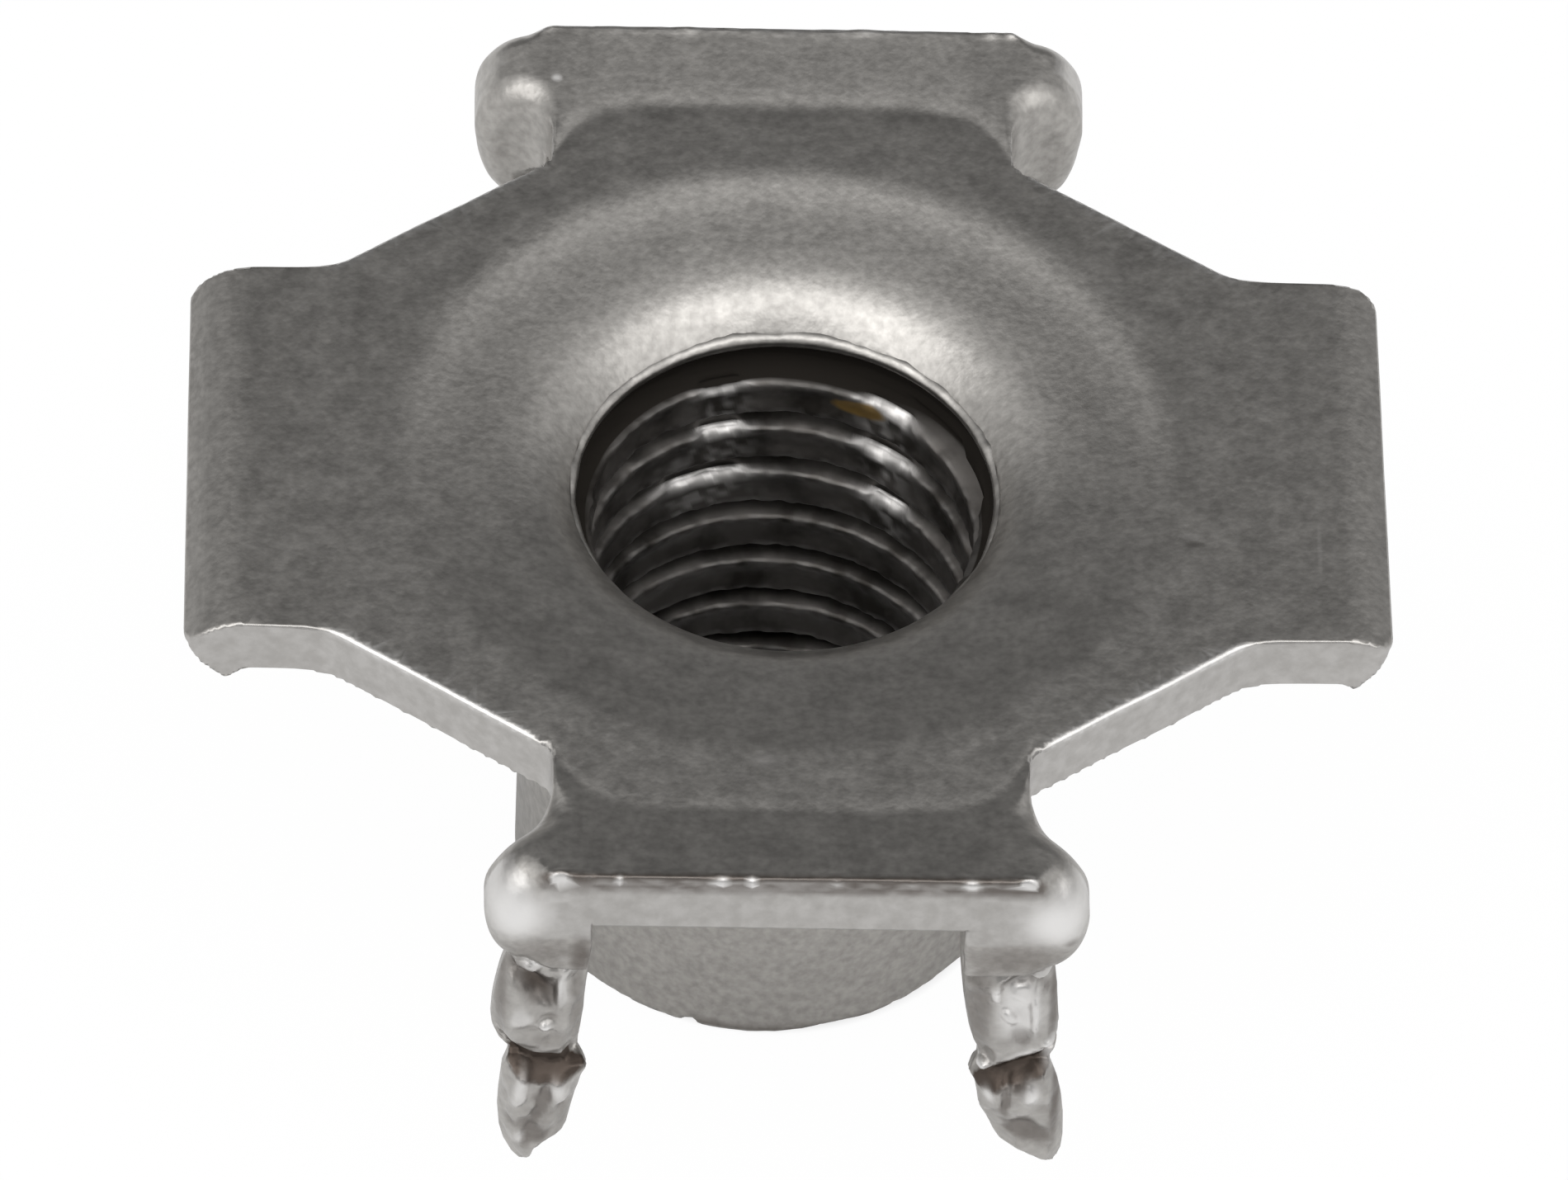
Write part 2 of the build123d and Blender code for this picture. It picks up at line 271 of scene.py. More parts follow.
@dataclass
class Flange:
    """Cross-shaped sheet with bent wing lips, given by bend and leg, and tilted tabs."""

    wing_reach: float = 13.45
    wing_half: float = 5.45
    wing_corner: float = 0.5
    tab_reach: float = 12.95
    tab_half: float = 4.35
    tab_rise: float = 0.3
    tab_tilt: float = 8.0
    crease: float = 10.72
    crease_bow: float = 0.07
    crease_groove: float = 0.024
    left_lip: Point2 = (40.0, 0.48)
    right_lip: Point2 = (31.0, 0.28)
    lip_radius: float = 0.3
    edge: float = 0.05
    roll: float = 0.07
    hub: float = 9.3
    burr: float = 0.012
    beads: tuple[Bead, ...] = (
        Bead(-1, -5.1, 0.2, 0.11), Bead(-1, -3.8, 0.12, 0.06), Bead(-1, -1.55, 0.22, 0.07),
        Bead(-1, -0.9, 0.14, 0.08), Bead(-1, 0.9, 0.1, 0.04), Bead(-1, 2.5, 0.12, 0.04),
        Bead(-1, 3.9, 0.24, 0.06), Bead(-1, 5.15, 0.2, 0.1), Bead(1, -5.45, 0.2, 0.07),
        Bead(1, 4.85, 0.16, 0.07), Bead(1, 5.3, 0.16, 0.09), Bead(1, -2.2, 0.3, 0.04),
        Bead(1, 1.9, 0.4, 0.04),
    )
    plan: Outline = field(init=False)
    section: Outline = field(init=False)

    def __post_init__(self) -> None:
        """Measure the plan and the lengthwise section."""
        self.plan = Outline(self.plan_points(), step=0.03)
        self.section = Outline(self.section_points())
        self.wave = Ripple(3, 3.1)
        self.grit = Ripple(5, 0.45)
        self.speckle = Ripple(7, 0.5)

    def plan_points(self) -> list[Point2]:
        """Corners of the flange seen from above.

        Returns:
            The corners in order, as X and Y.
        """
        corner = (self.wing_reach - self.wing_corner, self.wing_half - self.wing_corner)
        quarter = [(self.wing_reach, 0.0), *arc(corner, self.wing_corner, 0, 90, 8)]
        quarter += flowing([(10.9, 5.5), (10.35, 5.56), (9.95, 5.74), (9.55, 6.02), (9.2, 6.26)], 4)
        quarter += flowing([(5.75, 8.64), (5.42, 8.87), (5.27, 9.1), (5.25, 9.35)], 3)
        quarter += flowing([(5.24, 9.6), (5.1, 9.95), (4.8, 10.3), (self.tab_half, 10.9)], 3)
        quarter += [(self.tab_half, self.tab_reach + SHEET)]
        upper = quarter + [(-x, y) for x, y in reversed(quarter[1:])]
        lower = [(x, -y) for x, y in reversed(upper)]
        return upper + lower[1:-1]

    def lip_points(self, angle: float, leg: float) -> list[Point2]:
        """Section of a wing's bent end.

        Args:
            angle: Bend in degrees.
            leg: Straight length beyond the bend.

        Returns:
            Points along +X, from the top over the end to the underside.
        """
        turn = math.radians(angle)
        outer = self.lip_radius + SHEET
        start = self.wing_reach - outer * math.sin(turn) - leg * math.cos(turn)
        top = arc((start, -outer), outer, 90, 90 - angle, 9)
        low = arc((start, -outer), self.lip_radius, 90 - angle, 90, 5)
        along = (leg * math.cos(turn), -leg * math.sin(turn))
        end_top = (top[-1][0] + along[0], top[-1][1] + along[1])
        end_low = (low[0][0] + along[0], low[0][1] + along[1])
        bulge, hooked = 0.07, 0.28
        middle = ((end_top[0] + end_low[0]) / 2 + bulge, (end_top[1] + end_low[1]) / 2)
        hook = (end_low[0] - hooked * math.cos(turn), end_low[1] + hooked * math.sin(turn))
        return top + [end_top, middle, (end_low[0] - 0.04, end_low[1] + 0.02), hook] + low[1:]

    def section_points(self) -> list[Point2]:
        """Corners of the lengthwise section of the wings."""
        left = self.lip_points(*self.left_lip)
        return self.lip_points(*self.right_lip) + [(-x, z) for x, z in reversed(left)]

    def tab_top(self, x: Array, v: Array) -> Array:
        """Height of a tab's top face, zero up to the curved crease.

        Args:
            x: Distances across the tab.
            v: Distances along the tab from the thread's axis.

        Returns:
            The heights.
        """
        crease = self.crease - self.crease_bow * (np.minimum(np.abs(x), 5.35) / 3.5) ** 7.9
        run = (v - crease) / (self.tab_reach - crease)
        soft = 0.06
        rise = self.tab_rise * 0.5 * (run + np.sqrt(run * run + soft * soft) - 0.02)
        return rise - self.crease_groove * np.exp(-(((v - crease) / 0.32) ** 2))

    def bead_height(self, x: Array, y: Array) -> Array:
        """Size of the beads along the cut ends of the tabs.

        Args:
            x: Distances along the wings.
            y: Distances along the tabs.

        Returns:
            The sizes.
        """
        total = np.zeros_like(x)
        for bead in self.beads:
            near = np.exp(-(((x - bead.x) / bead.width) ** 2))
            total += bead.height * near * (y * bead.y_sign > 0)
        return total

    def burr_height(self, x: Array, y: Array) -> Array:
        """Height of the burr and its beads along the cut top edges of the tabs.

        Args:
            x: Distances along the wings.
            y: Distances along the tabs.

        Returns:
            The heights.
        """
        away = (np.abs(y) - self.tab_reach + 0.1) / 0.11
        along = self.burr * (0.5 + np.maximum(self.speckle.height(x, y, 0 * x), -0.5))
        along = (along + 0.6 * self.bead_height(x, y)) * np.exp(-(away**2))
        return along * (1 - eased(np.abs(x), 5.35, 5.8))

    def edge_share(self, x: Array, y: Array, z: Array) -> Array:
        """Nearness to the top edge of a tab's cut end, 1 on the edge."""
        below = (self.tab_top(x, np.abs(y)) - 0.1 - z) / 0.14
        return np.exp(-(below**2)) * eased(np.abs(y), self.tab_reach - 0.3, self.tab_reach - 0.1)

    def row_share(self, x: Array, y: Array, z: Array) -> Array:
        """Share of the row below the top edge of a tab's cut end that gets painted shade."""
        below = (self.tab_top(x, np.abs(y)) - 0.13 - z) / 0.3
        return np.exp(-(below**4)) * eased(np.abs(y), self.tab_reach - 0.24, self.tab_reach - 0.1)

    def slanted_share(self, x: Array, y: Array) -> Array:
        """Share of the slanted edges between wings and tabs, which the press has rolled over."""
        u = np.abs(x)
        return eased(u, 5.4, 5.9) * (1 - eased(u, 9.9, 10.5)) * (np.abs(y) < 9.6)

    def tab_end(self, v: Array, z: Array) -> Array:
        """Distance beyond the plane of a tab's cut end, square to the tilted tab."""
        tilt = math.radians(self.tab_tilt)
        return (v - self.tab_reach) * math.cos(tilt) + (z - self.tab_rise) * math.sin(tilt)

    def depth(self, x: Array, y: Array, z: Array) -> Array:
        """Depth field of the sheet outside the dish.

        Args:
            x: Distances along the wings.
            y: Distances along the tabs.
            z: Heights from the top.

        Returns:
            The depths, negative inside the metal.
        """
        v = np.abs(y)
        top = self.tab_top(x, v)
        tab = np.maximum(z - top - self.burr_height(x, y), top - SHEET - z)
        sheet = np.where(v > 7.8, tab, self.section.depth(x, z))
        rim = self.plan.depth(x, y) + 0.02 * self.wave.height(x, y, 0 * z)
        end = self.tab_end(v, z) - self.edge_share(x, y, z) * self.bead_height(x, y)
        rough = 0.002 + 0.005 * eased(v, 9.9, 12.0)
        rim = np.maximum(rim, end) + rough * self.grit.height(x, y, 1.7 * z)
        rolled = self.edge + self.roll * self.slanted_share(x, y)
        edge = np.where(z > -0.5 * SHEET, rolled, 0.7 * self.edge)
        return np.maximum(trimmed(sheet, rim, edge), self.hub - np.hypot(x, y))


@dataclass
class Barrel:
    """Shallow dish, rolled throat and drawn barrel, turned about the thread's axis.

    Each dip in the trimmed end is given by its angle in degrees, width and depth.
    """

    radius: float = 5.81
    sleeve: float = 5.12
    throat: Point2 = (4.82, -1.3)
    end_edge: float = 0.168
    end_dips: tuple[Point3, ...] = (
        (-42.0, 6.0, 0.42), (-108.5, 0.36, 0.2), (-78.0, 2.2, 0.12), (75.0, 3.0, 0.1),
        (160.0, 4.0, 0.16),
    )
    outline: Outline = field(init=False)

    def __post_init__(self) -> None:
        """Measure the turned section."""
        self.outline = Outline(self.section_points())
        self.draw = Ripple(11, 2.6)
        self.burr = Ripple(13, 0.6)

    def section_points(self) -> list[Point2]:
        """Corners of half the turned section, as radius and height.

        Returns:
            The corners in order.
        """
        dish = [
            (9.6, 0.0), (9.1, 0.0), (8.8, -0.012), (8.5, -0.055), (8.2, -0.125), (7.85, -0.205),
            (7.4, -0.285), (6.9, -0.36), (6.4, -0.445), (5.95, -0.555), (5.55, -0.72),
            (5.2, -0.95), (4.95, -1.17), self.throat,
        ]
        lip = [(4.8, -1.36), (4.84, -1.44), (5.0, -1.55), (self.sleeve, -1.62)]
        end = [(self.sleeve, -12.72), (4.55, -12.72), (4.5, -13.1), (4.62, -TOP - 0.3)]
        end += [(self.radius, -TOP - 0.3)]
        under = [(self.radius, -3.1), (5.9, -2.7), (6.15, -2.3), (6.65, -2.02), (7.4, -1.76)]
        return flowing(dish, 5) + lip + end + flowing(under, 5) + [(8.5, -SHEET), (9.6, -SHEET)]

    def depth(self, x: Array, y: Array, z: Array) -> Array:
        """Depth field of dish, throat and barrel.

        Args:
            x: Distances along the wings.
            y: Distances along the tabs.
            z: Heights from the top.

        Returns:
            The depths, negative inside the metal.
        """
        turned = self.outline.depth(np.hypot(x, y), z)
        turned = turned + 0.01 * eased(-z, 3.0, 5.0) * self.draw.height(x, y, 0.4 * z)
        cut = -TOP - z + 0.025 * self.burr.height(x, y, 0 * z) + 0.03
        angle = np.arctan2(y, x)
        for where, width, deep in self.end_dips:
            turn = np.angle(np.exp(1j * (angle - math.radians(where))))
            cut = cut + deep * np.exp(-((turn * self.radius / (0.42 * width)) ** 2))
        return np.where(z < -10.0, trimmed(turned, cut, self.end_edge), turned)


FRONT_KNUCKLE: tuple[Point2, ...] = (
    (-1.7, 0.0), (-1.35, -0.03), (-1.02, -0.11), (-0.74, -0.25), (-0.5, -0.46), (-0.3, -0.74),
    (-0.15, -1.03), (-0.05, -1.33), (0.0, -1.65), (-0.02, -1.95), (-0.07, -2.25),
    (-0.15, -2.55), (-0.28, -2.83), (-0.46, -3.1), (-0.7, -3.35),
)
BACK_KNUCKLE: tuple[Point2, ...] = (
    *FRONT_KNUCKLE[:-4], (-0.13, -2.6), (-0.22, -2.95), (-0.36, -3.3), (-0.6, -3.6),
)


@dataclass(frozen=True)
class Tooth:
    """Front and side outlines of a barbed tooth, with its press marks, painted shade and
    highlights.

    A mark's strength is its height, negative for a dent.
    """

    outer: tuple[Point2, ...]
    tip: tuple[Point2, ...]
    inner: tuple[Point2, ...]
    face: tuple[Point2, ...]
    slant: float
    bow: float
    marks: tuple[Spot, ...]
    shade_and_tarnish: tuple[Spot, ...]
    bright: tuple[Spot, ...]


LEFT_TOOTH = Tooth(
    outer=(
        (5.4, -1.2), (6.0, -2.0), (6.16, -3.0), (6.31, -3.64), (6.4, -4.2), (6.47, -4.76),
        (6.5, -5.3), (6.46, -5.7), (6.3, -6.1), (6.08, -6.4), (6.08, -6.6), (6.2, -7.0),
        (6.27, -7.86), (6.29, -8.43), (6.24, -9.1), (6.14, -9.57), (5.94, -10.06),
    ),
    tip=((5.74, -10.25), (5.6, -10.13), (5.48, -9.85), (5.19, -9.55), (4.98, -9.42)),
    inner=(
        (4.83, -9.26), (4.74, -8.97), (4.66, -8.4), (4.57, -7.83), (4.45, -7.26), (4.33, -7.0),
        (4.42, -6.72), (4.55, -6.41), (4.53, -5.85), (4.48, -5.28), (4.42, -4.16),
        (4.37, -3.6), (4.36, -1.2),
    ),
    face=(
        (12.3, 0.6), (12.3, -1.4), (12.34, -2.6), (12.56, -3.0), (12.48, -3.4), (12.62, -3.9),
        (12.66, -4.8), (12.6, -5.5), (12.5, -5.86), (12.22, -5.95), (12.2, -6.4), (12.5, -6.6),
        (12.66, -6.75), (12.7, -7.2), (12.5, -8.4), (12.25, -10.7),
    ),
    slant=0.2,
    bow=0.35,
    marks=spots(
        (5.56, -3.1, 0.26, 0.2, 0, 0.16), (5.52, -3.85, 0.24, 0.6, -40, -0.24),
        (4.96, -3.9, 0.12, 0.6, 6, 0.14), (5.29, -5.05, 0.14, 0.14, 0, 0.16),
        (5.85, -4.7, 0.26, 0.5, 0, 0.1), (4.42, -6.35, 0.16, 0.16, 0, 0.12),
        (5.8, -7.3, 0.16, 0.6, 10, 0.12), (5.3, -7.8, 0.16, 0.9, 14, -0.12),
        (4.95, -7.4, 0.2, 0.4, -20, 0.1), (5.5, -9.0, 0.3, 0.35, 0, -0.1),
    ),
    # Painted shade in the tooth's hollows, slot and side strips and under the ball, mixed with
    # tarnished patches.
    shade_and_tarnish=spots(
        (5.52, -3.88, 0.3, 0.66, -40, 0.9), (5.9, -3.4, 0.3, 0.3, -25, 0.6),
        (4.58, -2.4, 0.26, 0.8, 0, 0.75), (5.4, -2.3, 0.95, 0.62, 0, 0.36),
        (4.62, -4.6, 0.16, 1.6, 0, 0.4), (6.3, -4.2, 0.14, 1.6, 0, 0.45),
        (5.2, -5.6, 0.5, 0.3, 0, 0.3), (5.35, -8.4, 0.5, 0.7, 10, 0.24),
        (4.85, -8.6, 0.14, 0.9, 8, 0.35),
    ),
    # Painted highlights on the tooth's bumps and facets, and a broad one on the ball.
    bright=spots(
        (5.56, -3.0, 0.17, 0.13, 0, 0.8), (4.98, -3.8, 0.08, 0.5, 6, 0.7),
        (5.29, -5.05, 0.11, 0.11), (4.42, -6.35, 0.12, 0.12), (5.82, -7.2, 0.12, 0.42, 10, 0.7),
        (4.95, -7.3, 0.16, 0.25, -20, 0.7), (5.8, -9.17, 0.1, 0.22, 0, 0.7),
        (6.05, -0.85, 0.7, 0.7),
    ),
)
RIGHT_TOOTH = Tooth(
    outer=(
        (5.4, -1.2), (5.75, -2.0), (5.86, -2.9), (5.97, -3.92), (6.05, -5.04), (6.08, -5.9),
        (6.03, -6.2), (5.9, -6.46), (6.02, -6.78), (6.12, -7.1), (6.25, -7.73), (6.33, -8.4),
        (6.37, -9.2), (6.35, -9.65), (6.29, -9.95),
    ),
    tip=((6.22, -10.1), (6.03, -10.04), (5.8, -9.9), (5.55, -9.75), (5.32, -9.62)),
    inner=(
        (4.96, -9.36), (4.8, -9.04), (4.7, -8.76), (4.59, -8.48), (4.45, -8.19), (4.4, -7.8),
        (4.32, -7.34), (4.18, -7.06), (4.24, -6.78), (4.34, -6.45), (4.34, -6.21),
        (4.22, -5.93), (4.15, -5.65), (4.06, -5.09), (3.98, -4.53), (3.92, -3.97),
        (3.84, -3.13), (3.82, -1.2),
    ),
    face=(
        (12.3, 0.6), (12.3, -1.4), (12.34, -2.65), (12.6, -3.1), (12.5, -3.5), (12.64, -4.4),
        (12.62, -5.3), (12.56, -5.9), (12.5, -6.05), (12.25, -6.12), (12.22, -6.5),
        (12.5, -6.68), (12.66, -6.82), (12.7, -7.4), (12.45, -8.6), (12.25, -10.7),
    ),
    slant=0.55,
    bow=0.0,
    marks=spots(
        (5.58, -3.07, 0.22, 0.16, 0, 0.16), (5.5, -4.4, 0.1, 0.8, 2, 0.14),
        (4.62, -3.9, 0.14, 0.3, 0, 0.14), (4.92, -4.54, 0.14, 0.3, 30, 0.12),
        (5.1, -3.5, 0.34, 0.16, 15, -0.16), (5.2, -5.2, 0.2, 0.4, 20, -0.1),
        (5.87, -5.55, 0.18, 0.14, 0, 0.16), (4.36, -6.44, 0.2, 0.16, 0, 0.16),
        (5.25, -6.7, 0.3, 0.3, 0, -0.1), (5.5, -7.15, 0.16, 0.34, 0, 0.12),
        (4.98, -7.3, 0.12, 0.6, 0, -0.12), (5.4, -8.7, 0.5, 0.5, 0, -0.1),
    ),
    # Painted shade in the tooth's hollows, slot and side strips and under the ball, mixed with
    # tarnished patches.
    shade_and_tarnish=spots(
        (5.25, -6.8, 0.4, 0.36, 20, 0.9), (5.92, -4.4, 0.12, 1.5, 0, 0.65),
        (6.1, -7.8, 0.12, 1.6, 0, 0.7), (6.15, -1.6, 0.16, 0.14, 0, 0.6),
        (5.1, -3.45, 0.34, 0.13, 15, 0.7), (5.0, -2.3, 1.2, 0.66, 0, 0.48),
        (4.26, -4.4, 0.32, 2.3, 0, 0.5), (5.2, -5.35, 0.5, 0.2, 20, 0.35),
        (5.35, -8.7, 0.6, 0.75, -30, 0.16),
    ),
    # Painted highlights on the tooth's bumps and facets, and a broad one on the ball.
    bright=spots(
        (5.15, -4.4, 0.46, 0.95, 0, 0.8), (5.52, -4.4, 0.08, 0.8, 2, 0.8),
        (4.62, -3.9, 0.1, 0.26), (5.87, -5.5, 0.14, 0.12), (4.36, -6.44, 0.16, 0.1),
        (5.55, -7.15, 0.16, 0.34, 0, 0.9), (5.95, -6.2, 0.2, 0.34, 0, 0.8),
        (5.5, -5.85, 0.5, 0.12, 24, 0.7), (4.6, -7.4, 0.12, 0.2, 0, 0.8),
        (5.85, -0.9, 0.7, 0.7),
    ),
)


@dataclass
class Prong:
    """One pronged corner: the ball-like bend of the tab's corner and the tooth below it."""

    side: Side
    tooth: Tooth
    knuckle_reach: float = 6.84
    knuckle: tuple[Point2, ...] = FRONT_KNUCKLE
    front_rounding: Point2 = (0.08, 0.85)
    hub_rounding: Point2 = (0.1, 1.0)
    hub_shift: float = 0.0
    chin: float = 0.36
    back: float = 11.1
    shear: float = 0.9
    middle: float = 5.35
    inner_bevel: Point2 = (0.4, 0.45)
    outer_bevel: Point2 = (0.32, 0.42)
    edge: float = 0.05
    fillet: float = 0.16
    front: Outline = field(init=False)
    profile: Outline = field(init=False)
    bend: Outline = field(init=False)
    flare: Outline = field(init=False)

    def __post_init__(self) -> None:
        """Measure the outlines of bend and tooth."""
        tooth = self.tooth
        self.front = Outline([*tooth.outer, *tooth.tip, *tooth.inner])
        self.profile = Outline(self.profile_points())
        self.bend = Outline(self.bend_points())
        self.flare = Outline(self.flare_points())
        seed = 20 + 3 * list(Side).index(self.side)
        self.tear = Ripple(seed, 0.7)
        self.grit = Ripple(seed + 1, 0.3)
        self.swell = Ripple(seed + 2, 1.9)

    def bend_points(self) -> list[Point2]:
        """Corners of the bend's section, across the tab and down.

        Returns:
            The corners in order.
        """
        run = flowing([(self.knuckle_reach + across, down) for across, down in self.knuckle], 3)
        inner = self.tooth.inner[-1][0]
        under = [(inner + 0.06, run[-1][1]), (inner, -2.3), (inner, -SHEET), (1.5, -SHEET)]
        return [(1.5, 0.0), *run, *under]

    def flare_points(self) -> list[Point2]:
        """Corners of the bend seen from above.

        Returns:
            The corners in order, across and along the tab.
        """
        reach = self.knuckle_reach + 0.4
        hollow = [(5.25, 9.9), (5.31, 10.3), (5.55, 10.72), (5.95, 11.0), (6.5, 11.12)]
        hollow = [(across, along - self.hub_shift) for across, along in [*hollow, (reach, 11.15)]]
        return [(1.0, 9.3), *flowing([(5.25, 9.3), *hollow], 4), (reach, 16.0), (1.0, 16.0)]

    def profile_points(self) -> list[Point2]:
        """Corners of the tooth's side view, along the tab and down."""
        back = [(11.85, -10.7), (11.55, -9.4), (11.22, -7.6), (11.1, -6.95), (11.38, -6.6)]
        return [*self.tooth.face, *back, (11.32, -6.2), (self.back, -5.9), (self.back, 0.6)]

    @staticmethod
    def along(edge: Sequence[Point2], w: Array) -> Array:
        """Where an edge of the front view stands at given heights."""
        run = sorted((-z, x) for x, z in edge)
        return np.interp(-w, [depth for depth, _ in run], [x for _, x in run])

    def barb_height(self, u: Array, w: Array) -> Array:
        """Heights measured along the leaning and bowed line of the barb.

        Args:
            u: Distances across the tab.
            w: Heights from the flange's top.

        Returns:
            The heights at which the side outline is read.
        """
        away = u - self.middle
        arch = np.maximum(1 - (away / 0.85) ** 2, -0.3)
        return w - self.tooth.slant * away + self.tooth.bow * arch

    def bevel_depth(self, u: Array, v: Array, w: Array, sheared: Array) -> Array:
        """Depth below the two bevelled corners of the tooth, which lean with it.

        Args:
            u: Distances across the tab.
            v: Distances along the tab.
            w: Heights from the flange's top.
            sheared: Heights that lean with the tooth.

        Returns:
            The depths, negative inside the metal.
        """
        face = self.along(self.tooth.face, self.barb_height(u, w))
        inside = self.along(self.tooth.inner, sheared) - u
        outside = u - self.along(self.tooth.outer, sheared)
        cuts = []
        for beyond, (across, along) in ((inside, self.inner_bevel), (outside, self.outer_bevel)):
            cut = along * beyond + across * (v - face + along)
            cuts.append(cut / math.hypot(across, along))
        return np.maximum(*cuts)

    def ball_depth(self, u: Array, v: Array, w: Array, top: Array, end: Array) -> Array:
        """Depth field of the ball-like bend, flush with the tab's cut end and rounded beside it.

        Args:
            u: Distances across the tab.
            v: Distances along the tab.
            w: Heights from the flange's top.
            top: Height of the tab's top face there.
            end: Distance beyond the plane of the tab's cut end.

        Returns:
            The depths, negative inside the metal.
        """
        sharp, blunt = self.front_rounding
        front = sharp + (blunt - sharp) * eased(u, 5.15, 5.9)
        low = -w - 1.3
        chin = self.chin * 0.5 * (low + np.sqrt(low * low + 0.05))
        ball = trimmed(self.bend.depth(u, w - top), end + chin, front)
        sharp, blunt = self.hub_rounding
        rounding = sharp + (blunt - sharp) * eased(v, 9.8, 11.2)
        ball = trimmed(ball, self.flare.depth(u, v), rounding)
        wall = 10.45 - self.hub_shift - v + 0.6 * eased(-w, SHEET + 0.1, 2.6)
        ball = np.maximum(ball, np.minimum(top - SHEET - w, wall))
        return ball + 0.03 * eased(-w, 0.5, 1.4) * self.swell.height(u, v, w)

    def slot_share(self, u: Array, w: Array) -> Array:
        """Share of the slot that is cut across the front below the barb.

        Args:
            u: Distances across the tab.
            w: Heights from the flange's top.

        Returns:
            The shares, 1 in the slot.
        """
        slot = [down for reach, down in self.tooth.face if reach < 12.45 and -7.0 < down < -5.0]
        below = -self.barb_height(u, w)
        start = eased(below, -slot[0] - 0.16, -slot[0])
        return start * (1 - eased(below, 0.3 - slot[-1], 0.44 - slot[-1]))

    def relief(self, u: Array, v: Array, w: Array) -> Array:
        """Dents (positive) and bumps (negative) of the tooth's torn front.

        Args:
            u: Distances across the tab.
            v: Distances along the tab.
            w: Heights from the flange's top.

        Returns:
            Depths that are added to the tooth's own.
        """
        relief = 0.055 * self.tear.height(u, 0.5 * v, w) + 0.024 * self.grit.height(u, v, w)
        relief = relief * (1 - 0.8 * self.slot_share(u, w))
        for mark in self.tooth.marks:
            relief = relief - mark.share(u, w)
        return relief * eased(v, 12.1, 12.3) * eased(-w, 1.6, 2.6)

    def tooth_depth(self, u: Array, v: Array, w: Array) -> Array:
        """Depth field of the barbed tooth with its torn front.

        Args:
            u: Distances across the tab.
            v: Distances along the tab.
            w: Heights from the flange's top.

        Returns:
            The depths, negative inside the metal.
        """
        sheared = w + self.shear * (12.15 - v)
        side = self.profile.depth(v, self.barb_height(u, w))
        tooth = trimmed(self.front.depth(u, sheared), side, self.edge)
        tooth = trimmed(tooth, self.bevel_depth(u, v, w, sheared), self.edge)
        return np.maximum(tooth + self.relief(u, v, w), w + 1.2)

    def depth(self, u: Array, v: Array, w: Array, top: Array, end: Array) -> Array:
        """Depth field of the pronged corner.

        Args:
            u: Distances from the nut's middle plane along the tab's width.
            v: Distances from the thread's axis along the tab.
            w: Heights from the flange's top.
            top: Height of the tab's top face at the same place.
            end: Distance beyond the plane of the tab's cut end.

        Returns:
            The depth field.
        """
        ball = self.ball_depth(u, v, w, top, end)
        return joined(ball, self.tooth_depth(u, v, w), self.fillet)


def prongs() -> list[Prong]:
    """The four pronged corners.

    Returns:
        Front left, front right, back left and back right.
    """
    back = {"knuckle": BACK_KNUCKLE, "front_rounding": (0.08, 0.6), "hub_rounding": (0.1, 0.65)}
    return [
        Prong(Side.FRONT_LEFT, LEFT_TOOTH),
        Prong(Side.FRONT_RIGHT, RIGHT_TOOTH, knuckle_reach=6.7),
        Prong(Side.BACK_LEFT, RIGHT_TOOTH, knuckle_reach=7.04, hub_shift=0.12, **back),
        Prong(Side.BACK_RIGHT, LEFT_TOOTH, knuckle_reach=7.02, hub_shift=0.12, **back),
    ]


def graded(start: float, runs: Sequence[Point2]) -> Array:
    """Positions along an axis with a spacing of its own on each run.

    Args:
        start: Where the first run begins.
        runs: Pairs of a run's end and its spacing.

    Returns:
        The positions, in order.
    """
    places = [np.array([start])]
    low = start
    for high, step in runs:
        count = max(1, round((high - low) / step))
        places.append(np.linspace(low, high, count + 1)[1:])
        low = high
    return np.concatenate(places)


